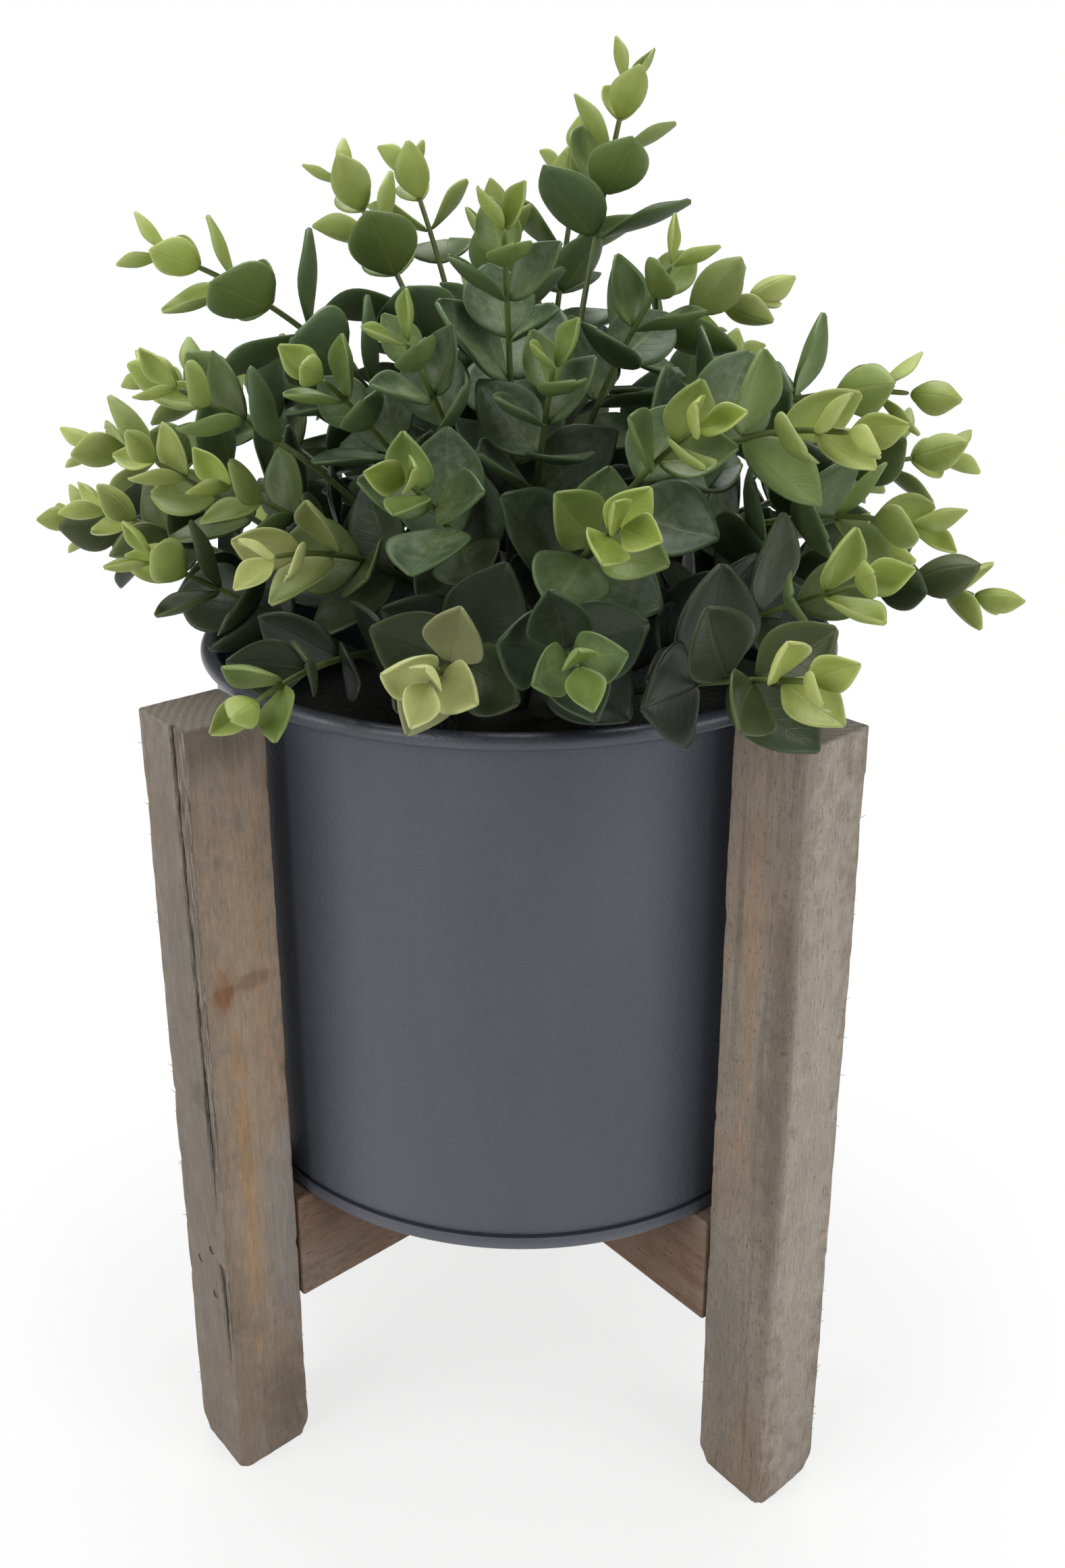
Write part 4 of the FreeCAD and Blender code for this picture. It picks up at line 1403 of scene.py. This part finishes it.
@dataclass
class Plant:
    """Artificial bush: a foam plug, a collar, and sprigs of stems with crosswise leaf pairs."""

    bench: Bench
    plug_top: float = 172.5
    plug_foot: float = 76.0
    plug_radius: float = 75.6
    bore: float = 16.1
    bore_depth: float = 14.0
    plug_rings: int = 14
    plug_steps: int = 96
    leaf_longest: float = 25.0
    leaf_shortest: float = 12.0
    internode_longest: float = 11.0
    internode_shortest: float = 8.0
    bare_stem: float = 28.0
    leaf_room: float = 3.2
    pair_room: float = 1.6
    rim_top: float = 202.5
    rim_outside: float = 80.0
    leg_middle: float = 91.15
    leg_side: float = 20.5
    leg_height: float = 201.0
    pairs_to_full_size: int = 4
    pairs_over_rim: int = 2
    drape_reach: float = 22.0
    tip_spread: float = 40.0
    low_spread: float = 66.0
    roll_step: float = 37.0
    # Painted shade on leaves near the collar's dome and on low leaves by the rim: the distance and the
    # height where it starts, and how far it takes to deepen fully
    crown_shade_depth: float = 92.0
    crown_shade_fade: float = 40.0
    low_shade_height: float = 244.0
    low_shade_fade: float = 24.0
    stem_sides: int = 7
    stem_step: float = 3.5
    stem_root: float = 1.08
    stem_taper: float = 0.38
    forms_of_each: int = 6

    # Compass angle from +X, lean at the collar, stem length, droop to the tip
    SPRIGS = (
        (188, 86, 131, 65), (150, 87, 125, 36), (125, 85, 128, 33), (-90, 89, 110, 29),
        (50, 84, 141, 13), (75, 83, 129, 24), (25, 104, 118, 98), (-5, 84, 120, 90),
        (-42, 78, 118, 78), (16, 55, 116, 54), (-25, 65, 104, 71), (4, 44, 108, 61),
        (-47, 36, 103, 12), (-62, 29, 118, 13), (-95, 42, 94, 38), (-80, 42, 103, 35),
        (-72, 59, 92, 40), (-102, 64, 92, 39), (-118, 46, 90, 58), (-128, 66, 82, 64),
        (-150, 34, 88, 4), (182, 39, 101, 22), (164, 32, 125, 29), (198, 49, 95, 17),
        (173, 58, 118, 57), (160, 62, 122, 52), (36, 43, 114, 38), (56, 56, 114, 34),
        (66, 33, 110, 30), (88, 50, 116, 40), (100, 70, 118, 40), (98, 29, 108, 26),
        (118, 45, 114, 40), (134, 32, 110, 30), (140, 60, 116, 46), (210, 68, 106, 42),
        (-60, 66, 101, 38), (-76, 80, 88, 30), (-112, 80, 96, 34), (-28, 88, 104, 34),
        (206, 60, 80, 34), (-136, 78, 90, 38), (-12, 47, 82, 34), (104, 90, 108, 24),
    )

    # What a leaf tries in turn to find room: share of its length, change of its spread, turn about its stem
    TRIES = tuple(itertools.product((1.0, 0.8), (0, -20, 15), (0, 25, -25, 50, -50)))

    # Small differences between leaves: turn about the rib and nod in degrees, share of the full size
    TWIST = (-15, 15)
    NOD = (-4, 8)
    SIZE = (0.88, 1.0)

    # Leaf shapes by age: half width, cup, fold, curl of the tip, fullness of the belly
    AGES = {"tip": (0.35, 0.26, 0.35, 0.04, 0.85), "mid": (0.38, 0.22, 0.2, -0.1, 0.72),
            "low": (0.42, 0.16, 0.1, -0.2, 0.58)}

    COLLAR = paint(30, 34, 24)

    # How young the leaves of a sprig look, where it isn't the middle value; on the top sprigs 1, 2, 3, 5 and
    # 6 it is raised partly as painted light, to lighten leaves that face away from the lamps
    FRESH_AND_PAINTED_LIGHT = {1: 0.85, 2: 0.9, 3: 0.9, 4: 0.25, 5: 0.85, 6: 0.85, 7: 0.8, 8: 0.75, 9: 0.85, 10: 0.8, 11: 0.65,
             12: 0.75, 13: 0.6, 14: 0.8, 15: 0.95, 16: 0.05, 17: 0.7, 18: 0.3, 19: 0.35, 20: 0.9, 21: 0.6,
             22: 0.9, 23: 0.75, 24: 0.9, 25: 0.9, 26: 0.8, 38: 0.1, 39: 0.15, 40: 0.4, 42: 0.3}

    # How creamy the young leaves of a sprig are
    CREAM = {7: 0.15, 9: 0.15, 14: 0.15, 15: 0.6, 20: 0.4, 22: 0.1, 24: 0.1, 25: 0.1}

    def build(self) -> None:
        """Make the plug and the sprigs and dress the collar."""
        self.plug()
        stem = StemPlastic().make()
        self.bench.dress("stem_collar", StemPlastic("collar_plastic", self.COLLAR, self.COLLAR).make())
        leaf = LeafPlastic().make()
        forms = self.forms()
        lines = [StemLine(*row, self.roll_step * number) for number, row in enumerate(self.SPRIGS)]
        draws = random.Random(11)
        for number, (line, seats) in enumerate(zip(lines, self.grow(lines)), start=1):
            self.sprig(number, line, seats, forms, [leaf, stem], draws)

    def plug(self) -> None:
        """Make the foam plug with its crumbly top."""
        bm = bmesh.new()
        line = Profile(bm, self.bore, self.plug_top - self.bore_depth)
        line.line(self.bore, self.plug_top)
        for step in range(1, self.plug_rings + 1):
            line.line(self.bore + (self.plug_radius - self.bore) * step / self.plug_rings, self.plug_top)
        line.line(self.plug_radius, self.plug_foot)
        line.line(0, self.plug_foot)
        line.turn(self.plug_steps)
        for vert in bm.verts:
            if vert.co.z > self.plug_top - 0.1:
                vert.co.z -= 0.9 * abs(noise.noise(vert.co * 0.16)) + 0.5 * abs(noise.noise(vert.co * 0.5))
        self.bench.settle(bm, "cut_foam_plug", "plant", "foam", [Foam().make()], ("foam_plug",))

    def forms(self) -> dict[str, list[bpy.types.Mesh]]:
        """Draw leaf shapes by age, a few of each.

        Returns:
            The meshes by age.
        """
        draws = random.Random(5)
        made: dict[str, list[bpy.types.Mesh]] = {}
        for age, (shape, cup, fold, curl, belly) in self.AGES.items():
            made[age] = [
                LeafForm(f"leaf_{age}_{number}", shape * draws.uniform(0.92, 1.05),
                         cup * draws.uniform(0.8, 1.2), fold * draws.uniform(0.8, 1.2),
                         curl + draws.uniform(-0.1, 0.1), draws.uniform(-0.05, 0.05),
                         belly * draws.uniform(0.9, 1.15)).mesh()
                for number in range(self.forms_of_each)
            ]
        return made

    def eased(self, tip_value: float, low_value: float, pair: int) -> float:
        """Value that grows from a sprig's tip to its full size over the first leaf pairs."""
        return tip_value + (low_value - tip_value) * min(1.0, pair / self.pairs_to_full_size)

    def leaf_places(self, length: float) -> list[float]:
        """Distances along a stem of its leaf pairs, from the tip downwards.

        Args:
            length: the stem's length.

        Returns:
            The distances.
        """
        places: list[float] = []
        along = length
        while along > self.bare_stem:
            places.append(along)
            along -= self.eased(self.internode_shortest, self.internode_longest, len(places) - 1)
        return places

    def fouls_planter(self, marks: np.ndarray, pair: int) -> bool:
        """True where a leaf is too near the rim, in the pot, near a leg, or hangs low over the rim.

        Args:
            marks: the leaf's points.
            pair: number of the leaf pair from the tip.

        Returns:
            Whether the leaf fouls the planter.
        """
        room = self.leaf_room
        x, y, z = marks.T
        drape = 0.0 if pair < self.pairs_over_rim else self.drape_reach
        in_pot = (np.hypot(x, y) < self.rim_outside + room + drape) & (z < self.rim_top + room)
        reach = (np.abs(x) + np.abs(y)) / math.sqrt(2)
        beside = np.abs(np.abs(x) - np.abs(y)) / math.sqrt(2)
        half = self.leg_side / 2 + room
        at_leg = (np.abs(reach - self.leg_middle) < half) & (beside < half) & (z < self.leg_height + room)
        return bool(np.any(in_pot | at_leg))

    def grow(self, lines: list[StemLine]) -> list[list[LeafSeat]]:
        """Seat crosswise leaf pairs on every stem, tips first, each leaf turned to where it has room.

        Args:
            lines: the stems' middle lines.

        Returns:
            The seats of each stem's leaves.
        """
        crowd = Crowd(np.zeros((0, 3)), *(np.zeros(0) for _ in range(4)))
        for number, line in enumerate(lines):
            count = int(line.length / self.leaf_room) + 1
            marks = np.array([line.place(self.leaf_room * step) for step in range(count)])
            crowd.take(number, -1, marks, self.leaf_room + line.radius, 0.0)
        places = [self.leaf_places(line.length) for line in lines]
        grown: list[list[LeafSeat]] = [[] for _ in lines]
        for pair in range(max(len(row) for row in places)):
            for number, line in enumerate(lines):
                for half_turn in (0, 180) if pair < len(places[number]) else ():
                    for seat in self.tried_seats(line, pair, places[number][pair], half_turn):
                        marks = seat.marks()
                        if self.fouls_planter(marks, pair):
                            continue
                        if crowd.blocks(number, seat, marks, self.leaf_room + line.radius):
                            continue
                        crowd.take(number, pair, marks, self.leaf_room, self.pair_room)
                        grown[number].append(seat)
                        break
        return grown

    def tried_seats(self, line: StemLine, pair: int, along: float, half_turn: float) -> Iterator[LeafSeat]:
        """Seats of a leaf as it would grow freely, then turned, bent or smaller.

        Args:
            line: the stem's middle line.
            pair: number of the leaf pair from the tip.
            along: distance of the node along the stem.
            half_turn: 0 or 180 for the two leaves of a pair.

        Yields:
            The seats to try.
        """
        heading = line.heading(along)
        for share, change, turn in self.TRIES:
            spread = math.radians(self.eased(self.tip_spread, self.low_spread, pair) + change)
            outward = line.sideways(along, math.radians(90 * pair + half_turn + turn))
            axis = heading * math.cos(spread) + outward * math.sin(spread)
            normal = heading * math.sin(spread) - outward * math.cos(spread)
            length = self.eased(self.leaf_shortest, self.leaf_longest, pair) * share
            yield LeafSeat(line.place(along), axis, np.cross(normal, axis), normal, length, pair)

    def sprig(self, number: int, line: StemLine, seats: list[LeafSeat],
              forms: dict[str, list[bpy.types.Mesh]], finishes: list[Material],
              draws: random.Random) -> None:
        """Make one sprig: its stem and its leaves in one moulding.

        Args:
            number: number of the sprig.
            line: its stem's middle line.
            seats: seats of its leaves.
            forms: leaf shapes by age.
            finishes: leaf and stem materials.
            draws: source of the leaves' small differences.
        """
        bm = bmesh.new()
        bm.loops.layers.uv.new("leaf")
        for name in ("under", "age", "tone", "inner", "cream"):
            bm.faces.layers.float.new(name)
        self.stem(bm, line)
        # fresh is partly painted light: on a few top sprigs it lightens leaves that face away from the lamps
        fresh, cream = self.FRESH_AND_PAINTED_LIGHT.get(number, 0.5), self.CREAM.get(number, 0.0)
        for seat in seats:
            kind = "tip" if seat.pair == 0 else "mid" if seat.pair < 3 else "low"
            old_faces, old_verts = len(bm.faces), len(bm.verts)
            bm.from_mesh(draws.choice(forms[kind]))
            bm.faces.ensure_lookup_table()
            bm.verts.ensure_lookup_table()
            twist = Matrix.Rotation(math.radians(draws.uniform(*self.TWIST)), 4, "X")
            nod = Matrix.Rotation(math.radians(draws.uniform(*self.NOD)), 4, "Y")
            size = Matrix.Scale(draws.uniform(*self.SIZE), 4)
            bmesh.ops.transform(bm, matrix=seat.matrix() @ nod @ twist @ size, verts=bm.verts[old_verts:])
            age = min(1.0, max(0.0, seat.pair / self.pairs_to_full_size + (0.55 - fresh) * 0.8))
            # Painted shade: leaves near the collar's dome and low leaves by the rim are darkened through
            # their inner value
            depth = self.crown_shade_depth - float(np.linalg.norm(seat.base - UP * line.dome))
            low = self.low_shade_height - seat.base[2] if seat.pair >= self.pairs_over_rim else 0.0
            looks = {"age": age, "tone": draws.random(), "cream": cream,
                     "inner": min(1.0, max(0.0, depth / self.crown_shade_fade, low / self.low_shade_fade))}
            for name, amount in looks.items():
                layer = bm.faces.layers.float[name]
                for face in bm.faces[old_faces:]:
                    face[layer] = amount
        name = f"sprig_{number:02d}"
        self.bench.settle(bm, f"moulded_{name}", "plant", "leaf_plastic", finishes, (name,), soft=True)

    def stem(self, bm: Draft, line: StemLine) -> None:
        """Draw a stem: a ring spun along its arc, thinner towards the tip.

        Args:
            bm: the sprig's drawing.
            line: the stem's middle line.
        """
        heading, across = Vector(line.heading(0)), Vector(line.across)
        upright = across.cross(heading)
        root = Vector(line.root)
        centre = root + upright * line.bend
        seat = Matrix((across, upright, heading)).transposed().to_4x4()
        seat.translation = root
        ring = bmesh.ops.create_circle(bm, segments=self.stem_sides, radius=line.radius, matrix=seat)
        edges = list({edge for vert in ring["verts"] for edge in vert.link_edges})
        bmesh.ops.spin(bm, geom=ring["verts"] + edges, cent=centre, axis=across,
                       angle=math.radians(line.droop), steps=int(line.length / self.stem_step))
        bmesh.ops.holes_fill(bm, edges=[edge for edge in bm.edges if edge.is_boundary], sides=0)
        bmesh.ops.recalc_face_normals(bm, faces=bm.faces)
        age = bm.faces.layers.float["age"]
        share: dict[int, float] = {}
        bm.verts.index_update()
        for vert in bm.verts:
            spoke = vert.co - centre
            angle = math.atan2(spoke.dot(heading), spoke.dot(-upright))
            along = min(line.length, max(0.0, angle * line.bend))
            share[vert.index] = along / line.length
            middle = Vector(line.place(along))
            girth = self.stem_root - self.stem_taper * along / line.length
            vert.co = middle + (vert.co - middle) * girth
        for face in bm.faces:
            face.material_index = 1
            face[age] = 1 - sum(share[vert.index] for vert in face.verts) / len(face.verts)


@dataclass
class Studio:
    """Plain white floor, soft lights and the camera at the photograph's angle."""

    place: Triple = (0.0264, -0.3480, 0.3080)
    forward: Triple = (-0.0881, 0.9443, -0.3170)
    roll: float = -0.5
    lens: float = 32.65
    shift: tuple[float, float] = (0.0241, -0.0768)
    ambient: float = 0.2

    def build(self) -> None:
        """Make the camera, the floor, the world and the lamps."""
        self.camera()
        self.floor()
        self.world()
        self.lamp("left_light", (-0.95, -0.74, 0.75), (0, 0, 0.17), 0.95, 11.5)
        self.lamp("right_light", (1.02, -0.62, 0.75), (0, 0, 0.17), 0.95, 9.9)
        self.lamp("top_light", (0.0, 0.4, 1.25), (0, 0, 0.2), 0.9, 13.8)

    def camera(self) -> None:
        """Make the camera."""
        data = bpy.data.cameras.new("camera")
        data.lens, data.sensor_width = self.lens, 36.0
        data.shift_x, data.shift_y = self.shift
        data.clip_start, data.clip_end = 0.01, 20.0
        camera = bpy.data.objects.new("camera", data)
        camera.location = self.place
        camera.rotation_mode = "QUATERNION"
        level = Vector(self.forward).to_track_quat("-Z", "Y")
        camera.rotation_quaternion = level @ Quaternion((0, 0, 1), math.radians(self.roll))
        bpy.context.scene.collection.objects.link(camera)
        bpy.context.scene.camera = camera

    def floor(self) -> None:
        """Make the floor."""
        bm = bmesh.new()
        bmesh.ops.create_grid(bm, x_segments=1, y_segments=1, size=8.0)
        mesh = bpy.data.meshes.new("floor")
        bm.to_mesh(mesh)
        bm.free()
        mesh.materials.append(StudioPaper().make())
        floor = bpy.data.objects.new("floor", mesh)
        bpy.context.scene.collection.objects.link(floor)
        floor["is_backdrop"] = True

    def world(self) -> None:
        """Make the world: plain light, white where the camera looks past the floor."""
        world = bpy.data.worlds.new("studio")
        bpy.context.scene.world = world
        mill = Recipe(world)
        seen = Signal(mill, mill.node("ShaderNodeLightPath").outputs["Is Camera Ray"])
        strength = seen * (1.0 - self.ambient) + self.ambient
        sky = mill.node("ShaderNodeBackground", None, {"Color": (1, 1, 1, 1), "Strength": strength})
        mill.node("ShaderNodeOutputWorld", None, {"Surface": sky.outputs[0]})

    def lamp(self, name: str, place: Triple, target: Triple,
             size: float, power: float) -> None:
        """Make one soft lamp.

        Args:
            name: its name.
            place: where it stands.
            target: where it points.
            size: side of its square.
            power: its power in watts.
        """
        data = bpy.data.lights.new(name, "AREA")
        data.shape, data.size, data.energy = "SQUARE", size, power
        lamp = bpy.data.objects.new(name, data)
        lamp.location = place
        lamp.rotation_mode = "QUATERNION"
        lamp.rotation_quaternion = (Vector(target) - Vector(place)).to_track_quat("-Z", "Y")
        bpy.context.scene.collection.objects.link(lamp)


def main() -> None:
    """Build the studio, the stand, the pot and the plant, and work out the two boxes."""
    logging.basicConfig(level=logging.INFO, format="%(message)s")
    bpy.context.scene.view_settings.view_transform = "Standard"
    bench = Bench()
    Studio().build()
    Stand(bench).build()
    Pot(bench).build()
    Plant(bench).build()
    boxes = {"cad": CAD_BOX, "visual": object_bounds()}
    {name: [list(corner) for corner in box] for name, box in boxes.items()}


if __name__ == "__main__":
    main()
